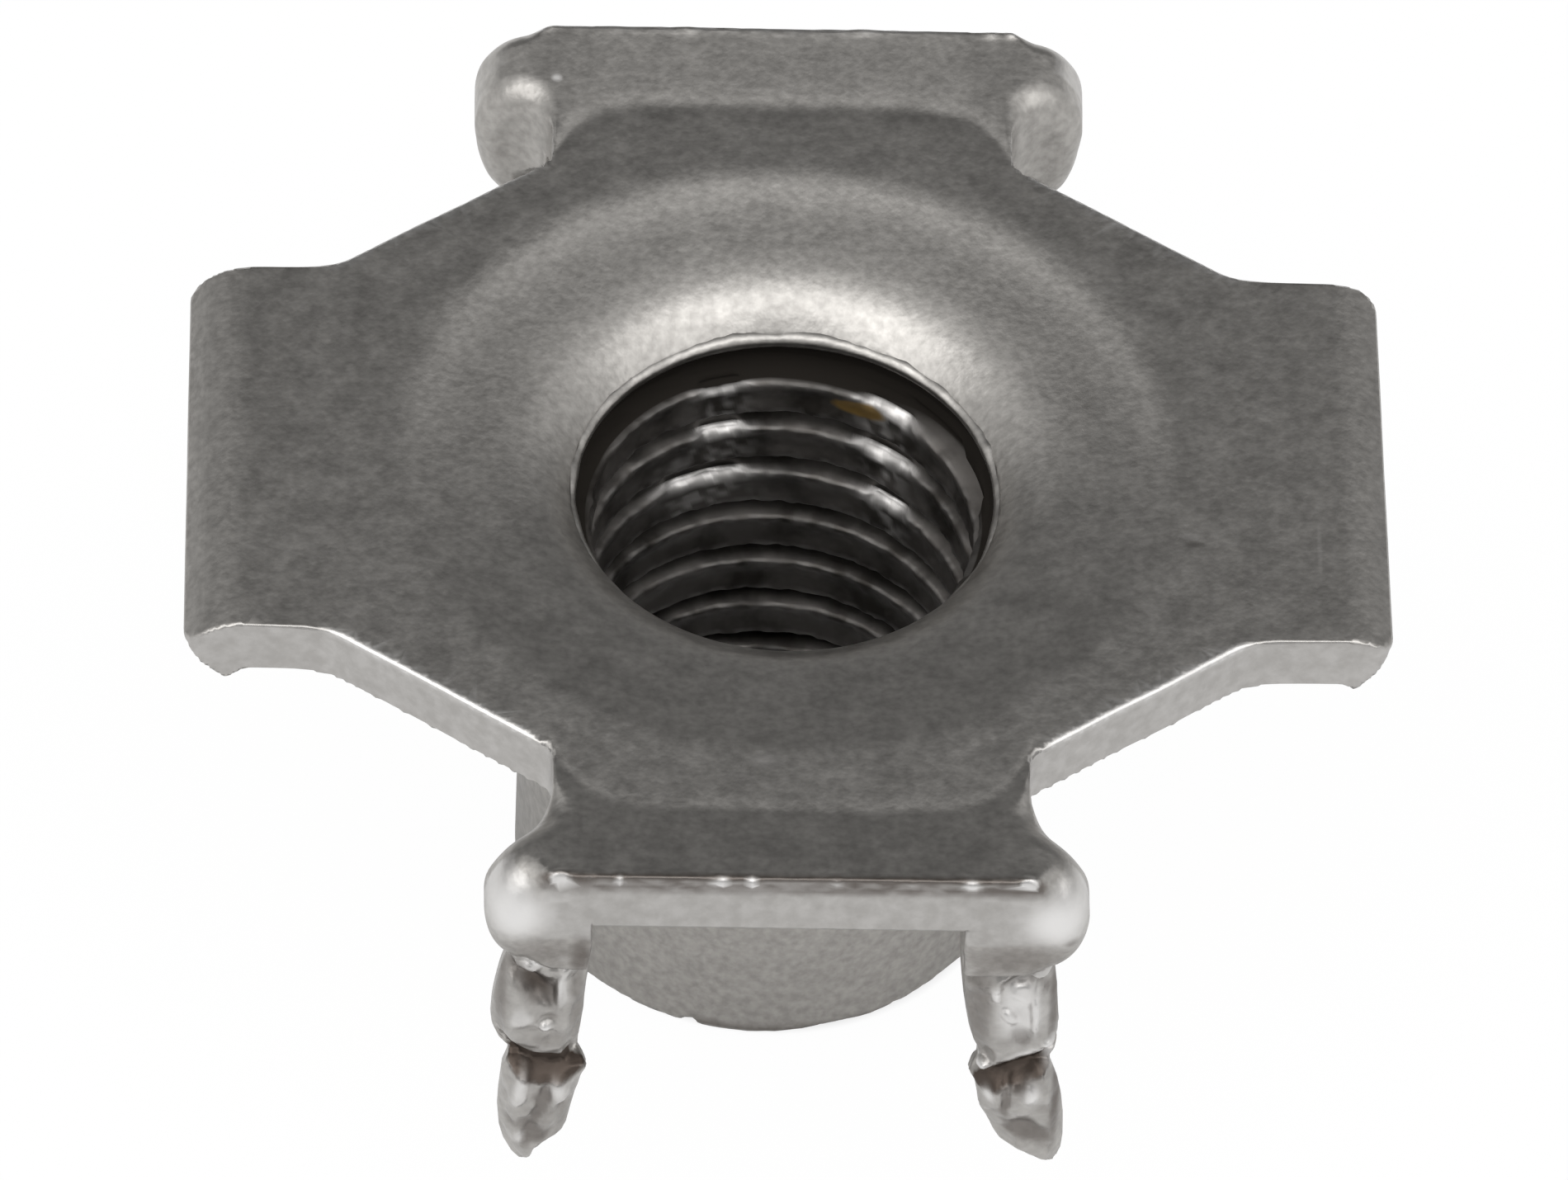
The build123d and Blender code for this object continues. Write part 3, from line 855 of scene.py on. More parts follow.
def skin_of(depth: DepthField, axes: tuple[Array, Array, Array]) -> tuple[Array, Array]:
    """Wrap a closed surface around everything that a depth field calls inside.

    Args:
        depth: Gives depths at points, negative inside.
        axes: Positions of the sampling planes along X, Y and Z.

    Returns:
        One place for each mixed cell, and one quad for each crossed edge.
    """
    xs, ys, zs = axes
    shape = tuple(len(line) for line in axes)
    body = np.empty(shape, np.float32)
    slab = 8
    for i in range(0, shape[0], slab):
        gx, gy, gz = np.meshgrid(xs[i : i + slab], ys, zs, indexing="ij")
        body[i : i + slab] = depth(gx.ravel(), gy.ravel(), gz.ravel()).reshape(gx.shape)
    inside = body < 0
    count = np.zeros(tuple(n - 1 for n in shape), np.int8)
    corners = [(dx, dy, dz) for dx in (0, 1) for dy in (0, 1) for dz in (0, 1)]
    for corner in corners:
        count += inside[tuple(slice(d, n - 1 + d) for d, n in zip(corner, shape))]
    cells = np.stack(np.nonzero((count > 0) & (count < 8)))
    number = np.full(count.shape, -1, np.int64)
    number[tuple(cells)] = np.arange(cells.shape[1])
    total, weight = np.zeros((cells.shape[1], 3)), np.zeros(cells.shape[1])
    for a in corners:
        for axis in (k for k in range(3) if not a[k]):
            b = tuple(1 if k == axis else a[k] for k in range(3))
            ends = [cells + np.array(corner)[:, None] for corner in (a, b)]
            va, vb = (body[tuple(end)] for end in ends)
            crossed = (va < 0) != (vb < 0)
            t = np.where(crossed, va / np.where(crossed, va - vb, 1), 0)
            pa, pb = (np.stack([line[k] for line, k in zip(axes, end)], 1) for end in ends)
            total += np.where(crossed, 1.0, 0.0)[:, None] * (pa + (pb - pa) * t[:, None])
            weight += crossed
    quads = []
    for axis in range(3):
        near, far = [slice(None)] * 3, [slice(None)] * 3
        near[axis], far[axis] = slice(0, -1), slice(1, None)
        first = inside[tuple(near)]
        edges = np.stack(np.nonzero(first != inside[tuple(far)]))
        one, two = [k for k in range(3) if k != axis]
        for k in (one, two):
            edges = edges[:, (edges[k] > 0) & (edges[k] < shape[k] - 1)]
        ring = []
        for back_one, back_two in ((0, 0), (1, 0), (1, 1), (0, 1)):
            cell = edges.copy()
            cell[one] -= back_one
            cell[two] -= back_two
            ring.append(number[tuple(cell)])
        quad = np.stack(ring, 1)
        outward = first[tuple(edges)] != (axis == 1)
        quads.append(np.where(outward[:, None], quad, quad[:, ::-1]))
    return total / weight[:, None], np.concatenate(quads)


def new_mesh(name: str, places: Array, faces: Array) -> bpy.types.Mesh:
    """Make a mesh from places in millimetres and faces of equal size.

    Args:
        name: Name of the mesh.
        places: Places measured from the flange's top.
        faces: Corner numbers of each face.

    Returns:
        The mesh, in metres in the row's frame.
    """
    mesh = bpy.data.meshes.new(name)
    count, sides = faces.shape
    mesh.vertices.add(len(places))
    mesh.vertices.foreach_set("co", ((places + [0, 0, TOP]) * MM).astype(np.float32).ravel())
    mesh.loops.add(count * sides)
    mesh.loops.foreach_set("vertex_index", faces.astype(np.int32).ravel())
    mesh.polygons.add(count)
    mesh.polygons.foreach_set("loop_start", np.arange(0, count * sides, sides, dtype=np.int32))
    mesh.update(calc_edges=True)
    mesh.validate()
    return mesh


def placed(name: str, data: bpy.types.ID) -> bpy.types.Object:
    """Put a mesh, a lamp or a camera into the scene as a new object.

    Args:
        name: Name of the object.
        data: The mesh, lamp or camera.

    Returns:
        The object.
    """
    made = bpy.data.objects.new(name, data)
    bpy.context.scene.collection.objects.link(made)
    return made


def write_zone(mesh: bpy.types.Mesh, zone: Zone, values: Array) -> None:
    """Keep one value for each vertex under the zone's name."""
    layer = mesh.attributes.new(zone.value, "FLOAT", "POINT")
    layer.data.foreach_set("value", values.astype(np.float32))


@dataclass
class Stamping:
    """The whole sheet-metal body: flange, dish, throat, barrel and pronged corners."""

    flange: Flange
    barrel: Barrel
    prongs: Sequence[Prong]
    face_limit: int = 192000
    flat: float = 0.21
    fine: float = 0.09

    def depth(self, x: Array, y: Array, z: Array) -> Array:
        """Depth field of the body.

        Args:
            x: Distances along the wings.
            y: Distances along the tabs.
            z: Heights from the top.

        Returns:
            The depths, negative inside the metal.
        """
        body = self.flange.depth(x, y, z)
        near = np.hypot(x, y) < 9.6
        body[near] = np.minimum(body[near], self.barrel.depth(x[near], y[near], z[near]))
        for prong in self.prongs:
            sx, sy = prong.side.value
            near = (sx * x > 3.3) & (sx * x < 7.8) & (sy * y > 9.1) & (sy * y < 14.0) & (z > -10.9)
            if not near.any():
                continue
            u, v, w = sx * x[near], sy * y[near], z[near]
            top = self.flange.tab_top(u, v) + self.flange.burr_height(x[near], y[near])
            corner = prong.depth(u, v, w, top, self.flange.tab_end(v, w))
            body[near] = np.minimum(body[near], corner)
        return body

    def slope(self, places: Array, reach: float) -> Array:
        """Steepest rise of the depth field at places, by central differences.

        Args:
            places: Places in millimetres, measured from the flange's top.
            reach: How far to each side the field is read.

        Returns:
            The rise along X, Y and Z at each place.
        """
        rise = np.empty_like(places)
        for axis in range(3):
            ahead, behind = places.copy(), places.copy()
            ahead[:, axis] += reach
            behind[:, axis] -= reach
            rise[:, axis] = (self.depth(*ahead.T) - self.depth(*behind.T)) / (2 * reach)
        return rise

    def settled(self, places: Array) -> Array:
        """Move places onto the surface, along the steepest way.

        Args:
            places: Places in millimetres, measured from the flange's top.

        Returns:
            The places on the surface.
        """
        for _ in range(2):
            rise = self.slope(places, 0.015)
            push = self.depth(*places.T) / np.maximum((rise**2).sum(1), 0.2)
            places = places - rise * np.clip(push, -0.04, 0.04)[:, None]
        return places

    def axes(self) -> tuple[Array, Array, Array]:
        """Sampling planes, closer together at the lips, prongs and edges.

        Returns:
            Positions along X, Y and Z.
        """
        flat, fine = self.flat, self.fine
        right = graded(0.013, [(3.5, flat), (7.05, fine), (11.7, flat), (13.9, 0.12)])
        back = graded(0.017, [(5.3, flat), (6.1, 0.14), (10.5, flat), (13.6, fine)])
        xs = np.concatenate([-right[:0:-1] + 0.026, right])
        ys = np.concatenate([-back[:0:-1] + 0.034, back])
        zs = graded(-TOP - 0.32, [(-12.6, 0.12), (-10.4, 0.2), (-2.0, 0.1), (0.65, 0.083)])
        return xs, ys, zs

    def build(self, name: str) -> bpy.types.Object:
        """Make the body's mesh with its attributes and exact shading normals.

        Args:
            name: Name of the piece.

        Returns:
            The new object, in metres in the row's frame.
        """
        places, quads = skin_of(self.depth, self.axes())
        LOG.info("%s: %d quads before thinning", name, len(quads))
        rough = new_mesh(name + "_draft", self.settled(places), quads)
        draft = placed(name + "_draft", rough)
        faces = 2 * len(quads)
        if faces > self.face_limit:
            draft.modifiers.new("thin", "DECIMATE").ratio = self.face_limit / faces
        graph = bpy.context.evaluated_depsgraph_get()
        mesh = bpy.data.meshes.new_from_object(draft.evaluated_get(graph))
        mesh.name = name
        bpy.data.objects.remove(draft)
        bpy.data.meshes.remove(rough)
        flat = np.empty(3 * len(mesh.vertices), np.float32)
        mesh.vertices.foreach_get("co", flat)
        self.shade(mesh, self.settled(flat.reshape(-1, 3).astype(float) / MM - [0, 0, TOP]))
        return placed(name, mesh)

    def shade(self, mesh: bpy.types.Mesh, places: Array) -> None:
        """Write places, normals and zone attributes to the mesh.

        Args:
            mesh: The thinned mesh.
            places: Places in millimetres, measured from the flange's top.
        """
        mesh.vertices.foreach_set("co", ((places + [0, 0, TOP]) * MM).astype(np.float32).ravel())
        rise = self.slope(places, 0.03)
        normals = rise / np.maximum(np.linalg.norm(rise, axis=1), 1e-6)[:, None]
        mesh.update()
        mesh.shade_smooth()
        mesh.normals_split_custom_set_from_vertices([tuple(n) for n in normals])
        # Painted shade with tarnished patches, and painted highlights, become two zones.
        shade_and_tarnish, bright = self.edge_tones(places)
        self.add_prong_tones(places, shade_and_tarnish, bright)
        write_zone(mesh, Zone.SHEARED, self.sheared(places, normals))
        write_zone(mesh, Zone.SHADE_AND_TARNISH, np.clip(shade_and_tarnish, 0, 1))
        write_zone(mesh, Zone.PAINTED_HIGHLIGHT, np.clip(bright, 0, 1))

    def rim(self, places: Array) -> Array:
        """Distance beyond the cut outline of the sheet.

        Args:
            places: Places in millimetres, measured from the flange's top.

        Returns:
            The distances, negative inside.
        """
        x, y, z = places.T
        end = self.flange.tab_end(np.abs(y), z)
        return np.where(np.abs(y) > 9.9, end, self.flange.plan.depth(x, y))

    def sheared(self, places: Array, normals: Array) -> Array:
        """Share of the surface that was sheared or torn.

        Args:
            places: Places in millimetres, measured from the flange's top.
            normals: Directions out of the surface.

        Returns:
            One share for each place.
        """
        x, y, z = places.T
        u, v = np.abs(x), np.abs(y)
        upright = 1 - eased(np.abs(normals[:, 2]), 0.35, 0.75)
        cut = eased(self.rim(places), -0.22, -0.08) * upright * (z > -1.7)
        cut = cut * (1 - eased(u, 5.3, 5.6) * (v > 9.9))
        ends = eased(u, 13.0, 13.2) * upright * (z > -2.3)
        torn = eased(-z, 2.7, 3.1) * eased(v, 12.0, 12.4)
        return np.clip(np.maximum(np.maximum(cut, ends), 0.35 * torn), 0, 1)

    def edge_tones(self, places: Array) -> tuple[Array, Array]:
        """Painted shade and painted highlights along the cut edges of the flange, and a darker line
        near the barrel's cut end.

        Args:
            places: Places in millimetres, measured from the flange's top.

        Returns:
            The painted shade and the painted highlight of each place.
        """
        x, y, z = places.T
        flange, u, v = self.flange, np.abs(x), np.abs(y)
        speckle = flange.speckle.height(x, y, 2 * z)
        edge = flange.edge_share(x, y, z) * (1 - eased(u, 5.5, 5.9))
        row = flange.row_share(x, y, z) * (1 - eased(u, 5.4, 5.7)) * (y < 0)
        burr = eased(z - flange.tab_top(x, v), -0.07, -0.03) * eased(v, 12.8, 12.88) * (u < 5.6)
        # Painted shade on the front tabs' cut ends: a speckled row below the top edge, and the
        # burr, darkened over its highlight.
        shade_and_tarnish = row * (0.4 + 0.4 * eased(speckle, -0.5, 0.4))
        shade_and_tarnish = np.maximum(shade_and_tarnish, 0.8 * burr * (y < 0))
        # Painted highlights on the beads and on the back tabs' burrs.
        bright = eased(edge * flange.bead_height(x, y), 0.015, 0.05)
        shade_and_tarnish = shade_and_tarnish * (1 - 0.8 * bright)
        bright = np.maximum(bright, 0.5 * burr * (y > 0) * eased(speckle, -0.4, 0.3))
        # Painted highlight along the rolled slanted edges.
        rolled = flange.slanted_share(x, y) * eased(self.rim(places), -0.18, -0.1)
        bright = np.maximum(bright, 0.6 * (rolled * eased(z, -0.16, -0.08)))
        degrees = np.degrees(np.arctan2(y, x))
        seam = np.exp(-(((z + TOP - 0.24) / 0.1) ** 2)) * eased(degrees, -109.5, -107.5)
        seam = seam * (1 - eased(degrees, -62.0, -52.0)) * (np.hypot(x, y) > 5.3)
        return np.maximum(shade_and_tarnish, 0.55 * seam), bright

    def add_prong_tones(self, places: Array, shade_and_tarnish: Array, bright: Array) -> None:
        """Add painted shade with tarnished patches and painted highlights on the prongs' fronts to
        both tones.

        Args:
            places: Places in millimetres, measured from the flange's top.
            shade_and_tarnish: Dark tones, which are changed.
            bright: Bright tones, which are changed.
        """
        x, y, z = places.T
        for prong in self.prongs:
            sx, sy = prong.side.value
            here = (sx * x > 3.4) & (sy * y > 12.0) & (z < 0)
            u, v, w = sx * x[here], sy * y[here], z[here]
            relief = prong.relief(u, v, w)
            # Painted shade: dents darken like hollows and the slot below the barb turns nearly
            # black.
            shades = [shade_and_tarnish[here], 0.6 * eased(relief, -0.01, 0.08), 0.97 * prong.slot_share(u, w)]
            shades += [spot.share(u, w) for spot in prong.tooth.shade_and_tarnish]
            shade = np.max(shades, axis=0)
            lights = [spot.share(u, w) for spot in prong.tooth.bright]
            for light in lights:
                shade = shade * (1 - 0.85 * light)
            shade_and_tarnish[here] = shade
            # Painted highlights on the bumps of the torn front and at the lighter spots.
            bright[here] = np.max([bright[here], 0.45 * eased(-relief, 0.03, 0.1), *lights], axis=0)


@dataclass
class Thread:
    """Right-handed M10 coarse internal thread, a closed helical sleeve inside the barrel.

    Each glint is a bevelled place on the crests, painted as a highlight, given by its middle angle,
    half width, top and bottom. The recess below the lip is given by its bottom, top and radius.
    """

    pitch: float = 1.5
    crest: float = 4.3
    root: float = 4.84
    outside: float = 5.35
    first: float = -1.6
    last: float = -12.75
    recess: Point3 = (-2.28, -2.14, 4.94)
    turns_around: int = 400
    torn: float = 0.035
    glints: tuple[tuple[float, float, float, float], ...] = (
        (108.0, 7.0, -2.2, -4.2), (113.0, 13.0, -4.2, -6.6), (56.0, 9.0, -2.2, -4.2),
        (55.0, 7.0, -4.2, -6.6),
    )

    def profile(self) -> list[Point2]:
        """One pitch of the thread's section, as rise and radius.

        Returns:
            The corners in order.
        """
        deep = self.root - self.crest
        section = [(0.0, 0.12), (0.03, 0.03), (0.09, 0.0), (0.2, 0.03), (0.34, 0.07), (0.48, 0.09)]
        section += [(0.62, 0.07), (0.76, 0.03), (0.88, 0.0), (0.94, 0.03), (0.98, 0.12)]
        section += [(1.04, deep - 0.25), (1.1, deep - 0.06), (1.16, deep), (1.3, deep)]
        section += [(1.36, deep - 0.06), (1.43, deep - 0.25)]
        return [(rise, self.crest + out) for rise, out in section]

    def build(self, name: str) -> bpy.types.Object:
        """Make the threaded sleeve.

        Args:
            name: Name of the piece.

        Returns:
            The new object, in metres in the row's frame.
        """
        section = np.array(self.profile())
        rows, around = len(section), self.turns_around
        turns = math.ceil((self.first - self.last) / self.pitch) + 2
        angle = 2 * math.pi * np.arange(around)[:, None] / around
        cos, sin = np.cos(angle), np.sin(angle)
        row = np.arange(turns * rows)
        rise, radius = section[row % rows].T
        climb = rise + self.pitch * (row // rows)
        z = self.last - self.pitch + climb[None, :] + self.pitch * angle / (2 * math.pi)
        r = np.repeat(radius[None, :], around, 0)
        x, y = r * cos, r * sin
        on_crest = eased(-r, -self.crest - 0.32, -self.crest - 0.02)
        tear = Ripple(41, 0.55).height(x, y, 1.4 * z) + 0.6 * Ripple(42, 0.24).height(x, y, z)
        r = r + on_crest * self.torn * tear + 0.02 * Ripple(43, 2.4).height(x, y, 0.5 * z)
        flats = self.flats(np.degrees(angle), z)
        worn_top = np.clip(rise - 0.7, 0, 0.28)[None, :] * (rise < 1.0)[None, :]
        r = r + 0.9 * eased(flats, 0.1, 0.7) * worn_top
        z = z + on_crest * 0.03 * Ripple(44, 0.7).height(x, y, z)
        low, high, wide = self.recess
        r = np.maximum(r, self.crest + (wide - self.crest) * eased(z, low, high))
        z = np.clip(z, self.last, self.first)
        parts = [np.stack([r * cos, r * sin, z], 2).reshape(-1, 3)]
        for level in (self.last, self.first):
            ring = [self.outside * cos, self.outside * sin, np.full_like(angle, level)]
            parts.append(np.concatenate(ring, 1))
        places = np.concatenate(parts)
        mesh = new_mesh(name, places, self.faces(z.shape[1], rows))
        # Painted highlights: crest edges and the glint places are painted lighter.
        lips = np.exp(-(((rise - 0.06) / 0.06) ** 2)) + np.exp(-(((rise - 0.91) / 0.06) ** 2))
        edge = lips[None, :] * eased(Ripple(45, 0.5).height(x, y, 1.5 * z), -0.5, 0.3)
        flecks = eased(Ripple(46, 0.3).height(0.5 * x, 0.5 * y, 2.8 * z), -0.1, 0.5)
        band = (radius < self.crest + 0.13)[None, :]
        painted_glints = flats * (np.where(worn_top > 0.02, 0.5 + 0.5 * flecks, 0) + 0.35 * band * flecks)
        painted_crest_light = np.zeros(len(places))
        painted_crest_light[: edge.size] = np.clip(0.12 * edge + painted_glints, 0, 1).ravel()
        write_zone(mesh, Zone.PAINTED_HIGHLIGHT, painted_crest_light)
        self.close(mesh, z.shape[1], rows)
        return placed(name, mesh)

    def flats(self, degrees: Array, z: Array) -> Array:
        """Share of the glint places on the crests.

        Args:
            degrees: Angles about the thread's axis.
            z: Heights from the top.

        Returns:
            The shares, 1 in the middle of a glint place.
        """
        flats = np.zeros_like(z)
        for middle, half, first, last in self.glints:
            window = np.exp(-(((degrees - middle) / half) ** 2)) * (z > last) * (z < first)
            flats = np.maximum(flats, window)
        return flats

    def faces(self, count: int, rows: int) -> Array:
        """Quads of the helical surface.

        Args:
            count: Places along the sleeve at each angle.
            rows: Places in one pitch, by which the last angle joins the first.

        Returns:
            Four corner numbers for each quad.
        """
        i = np.arange(self.turns_around - 1)[:, None] * count
        k = np.arange(count - 1)[None, :]
        body = np.stack([i + k, i + k + 1, i + count + k + 1, i + count + k], 2)
        k = np.arange(count - 1 - rows)
        last = (self.turns_around - 1) * count
        seam = np.stack([last + k, last + k + 1, k + rows + 1, k + rows], 1)
        return np.concatenate([body.reshape(-1, 4), seam])

    def close(self, mesh: bpy.types.Mesh, count: int, rows: int) -> None:
        """Close the sleeve with its end faces and its hidden outer wall.

        Args:
            mesh: Mesh with the helical surface and two outer rings.
            count: Places along the sleeve at each angle.
            rows: Places in one pitch.
        """
        work = bmesh.new()
        work.from_mesh(mesh)
        work.verts.ensure_lookup_table()
        around = self.turns_around
        low_ring, high_ring = around * count, around * (count + 1)
        for i in range(around):
            j = (i + 1) % around
            shift = 0 if j else rows
            low_i, low_j = i * count, j * count + shift
            high_i, high_j = (i + 1) * count - 1 - shift, (j + 1) * count - 1
            for wall in (
                (low_ring + i, low_ring + j, high_ring + j, high_ring + i),
                (low_ring + j, low_ring + i, low_i, low_j),
                (high_ring + i, high_ring + j, high_j, high_i),
            ):
                work.faces.new([work.verts[n] for n in wall])
        bmesh.ops.dissolve_degenerate(work, dist=2e-6, edges=work.edges)
        bmesh.ops.recalc_face_normals(work, faces=work.faces)
        work.to_mesh(mesh)
        work.free()
        mesh.shade_smooth()


@dataclass
class ThroatLip:
    """Rolled edge where the dish ends at the mouth of the thread."""

    radius: float = 4.86
    height: float = -1.46
    thickness: float = 0.17
    around: int = 320
    sides: int = 12

    def build(self, name: str) -> bpy.types.Object:
        """Make the slightly ragged ring.

        Args:
            name: Name of the piece.

        Returns:
            The new object, in metres in the row's frame.
        """
        i, j = np.arange(self.around)[:, None], np.arange(self.sides)[None, :]
        angle, turn = 2 * math.pi * i / self.around, 2 * math.pi * j / self.sides
        x, y = self.radius * np.cos(angle), self.radius * np.sin(angle)
        wave = Ripple(51, 1.4).height(x, y, 0 * x)
        ragged = Ripple(52, 0.4).height(x, y, 0 * x)
        size = self.thickness * (1 + 0.15 * wave + 0.12 * ragged + 0.3 * np.sin(angle))
        r = self.radius + size * np.cos(turn) + 0.02 * ragged
        z = self.height + 0.9 * size * np.sin(turn) + 0.03 * wave
        places = np.stack([r * np.cos(angle), r * np.sin(angle), z], 2).reshape(-1, 3)
        here, ahead = i * self.sides, (i + 1) % self.around * self.sides
        beside = (j + 1) % self.sides
        corners = [here + j, ahead + j, ahead + beside, here + beside]
        mesh = new_mesh(name, places, np.stack(corners, 2).reshape(-1, 4))
        mesh.shade_smooth()
        return placed(name, mesh)


@dataclass(frozen=True)
class Nodes:
    """Short ways to add nodes to a material's or the world's tree."""

    tree: bpy.types.NodeTree

    def add(self, kind: str, **values: object) -> bpy.types.Node:
        """Add a node and set its properties.

        Args:
            kind: Type of the node.
            values: Properties by name.

        Returns:
            The node.
        """
        node = self.tree.nodes.new(kind)
        for key, value in values.items():
            setattr(node, key, value)
        return node

    def link(self, source: Socket, target: Socket) -> None:
        """Join two sockets."""
        self.tree.links.new(source, target)

    def place(self, kind: str = "Object") -> Socket:
        """Coordinates of the named kind."""
        return self.add("ShaderNodeTexCoord").outputs[kind]

    def part(self, place: Socket, axis: str) -> Socket:
        """One of a place's three coordinates.

        Args:
            place: The coordinates.
            axis: X, Y or Z.

        Returns:
            The coordinate.
        """
        node = self.add("ShaderNodeSeparateXYZ")
        self.link(place, node.inputs[0])
        return node.outputs[axis]

    def away(self, place: Socket, middle: Point3, size: Point3) -> Socket:
        """Distance from a middle, 1 on the oval of some half sizes.

        Args:
            place: Object coordinates.
            middle: The middle in millimetres.
            size: Half sizes in millimetres.

        Returns:
            The distance.
        """
        near = self.add("ShaderNodeMapping")
        near.inputs["Location"].default_value = tuple(-m / s for m, s in zip(middle, size))
        near.inputs["Scale"].default_value = tuple(1 / (s * MM) for s in size)
        self.link(place, near.inputs["Vector"])
        length = self.add("ShaderNodeVectorMath", operation="LENGTH")
        self.link(near.outputs[0], length.inputs[0])
        return length.outputs["Value"]

    def noise(self, place: Socket, size_mm: float, detail: float = 3.0) -> Socket:
        """Noise with features of about a size in millimetres.

        Args:
            place: Object coordinates.
            size_mm: Size of a feature.
            detail: How much finer noise is added.

        Returns:
            The noise.
        """
        node = self.add("ShaderNodeTexNoise")
        node.inputs["Scale"].default_value = 0.6 / (size_mm * MM)
        node.inputs["Detail"].default_value = detail
        self.link(place, node.inputs["Vector"])
        return node.outputs["Fac"]

    def span(self, value: Socket, given: Point2, wanted: Point2 = (0.0, 1.0)) -> Socket:
        """Map a range of values to another.

        Args:
            value: The value.
            given: Its range.
            wanted: The range that it is mapped to.

        Returns:
            The new value.
        """
        node = self.add("ShaderNodeMapRange")
        for index, number in zip((1, 2, 3, 4), (*given, *wanted)):
            node.inputs[index].default_value = number
        self.link(value, node.inputs[0])
        return node.outputs[0]

    def sum(self, kind: str, a: Socket, b: Socket | float = 0.0) -> Socket:
        """Join two values by a sum of the named kind.

        Args:
            kind: Name of the sum.
            a: First value.
            b: Second value.

        Returns:
            The result.
        """
        node = self.add("ShaderNodeMath", operation=kind)
        self.link(a, node.inputs[0])
        if isinstance(b, (int, float)):
            node.inputs[1].default_value = b
        else:
            self.link(b, node.inputs[1])
        return node.outputs[0]

    def times(self, a: Socket, b: Socket | float) -> Socket:
        """Product of two values."""
        return self.sum("MULTIPLY", a, b)

    def level(self, share: Socket, a: Socket, b: float) -> Socket:
        """Mix a value with a plain number by a share.

        Args:
            share: Share of the number.
            a: The value.
            b: The number.

        Returns:
            The mixed value.
        """
        node = self.add("ShaderNodeMix", data_type="FLOAT")
        self.link(share, node.inputs[0])
        self.link(a, node.inputs[2])
        node.inputs[3].default_value = b
        return node.outputs[0]

    def blend(self, share: Socket, a: Socket | Point3, b: Socket | Point3) -> Socket:
        """Mix two colours by a share.

        Args:
            share: Share of the second colour.
            a: First colour.
            b: Second colour.

        Returns:
            The mixed colour.
        """
        node = self.add("ShaderNodeMix", data_type="RGBA")
        self.link(share, node.inputs[0])
        for value, target in ((a, node.inputs[6]), (b, node.inputs[7])):
            if isinstance(value, tuple):
                target.default_value = (*value, 1.0)
            else:
                self.link(value, target)
        return node.outputs[2]

    def attribute(self, zone: Zone) -> Socket:
        """Value of one of the zones."""
        return self.add("ShaderNodeAttribute", attribute_name=zone.value).outputs["Fac"]

    def bump(self, height: Socket, depth_mm: float, target: Socket) -> None:
        """Give a shader's normal a fine grain.

        Args:
            height: Height of the grain.
            depth_mm: Its depth.
            target: The shader's normal.
        """
        node = self.add("ShaderNodeBump")
        node.inputs["Strength"].default_value = 0.5
        node.inputs["Distance"].default_value = depth_mm * MM
        self.link(height, node.inputs["Height"])
        self.link(node.outputs[0], target)


def new_material(name: str) -> tuple[bpy.types.Material, Nodes, bpy.types.bpy_prop_collection]:
    """Start a material.

    Args:
        name: Name of the material.

    Returns:
        The material, its nodes and the inputs of its shader.
    """
    material = bpy.data.materials.new(name)
    material.use_nodes = True
    shader = material.node_tree.nodes["Principled BSDF"]
    return material, Nodes(material.node_tree), shader.inputs


@dataclass(frozen=True)
class Blot:
    """A small mark in a finish: its middle and half sizes in millimetres, colour and strength."""

    middle: Point3
    size: Point3
    colour: Point3
    strength: float
    core: float = 0.3

    def over(self, nodes: Nodes, place: Socket, colour: Socket) -> Socket:
        """Lay the mark over a colour, full inside its core and gone at its half sizes.

        Args:
            nodes: Where the nodes are added.
            place: Object coordinates.
            colour: The colour below.

        Returns:
            The colour with the mark.
        """
        x, y, z = self.middle
        away = nodes.away(place, (x, y, z + TOP), self.size)
        share = nodes.span(away, (1.0, self.core), (0.0, self.strength))
        return nodes.blend(share, colour, self.colour)


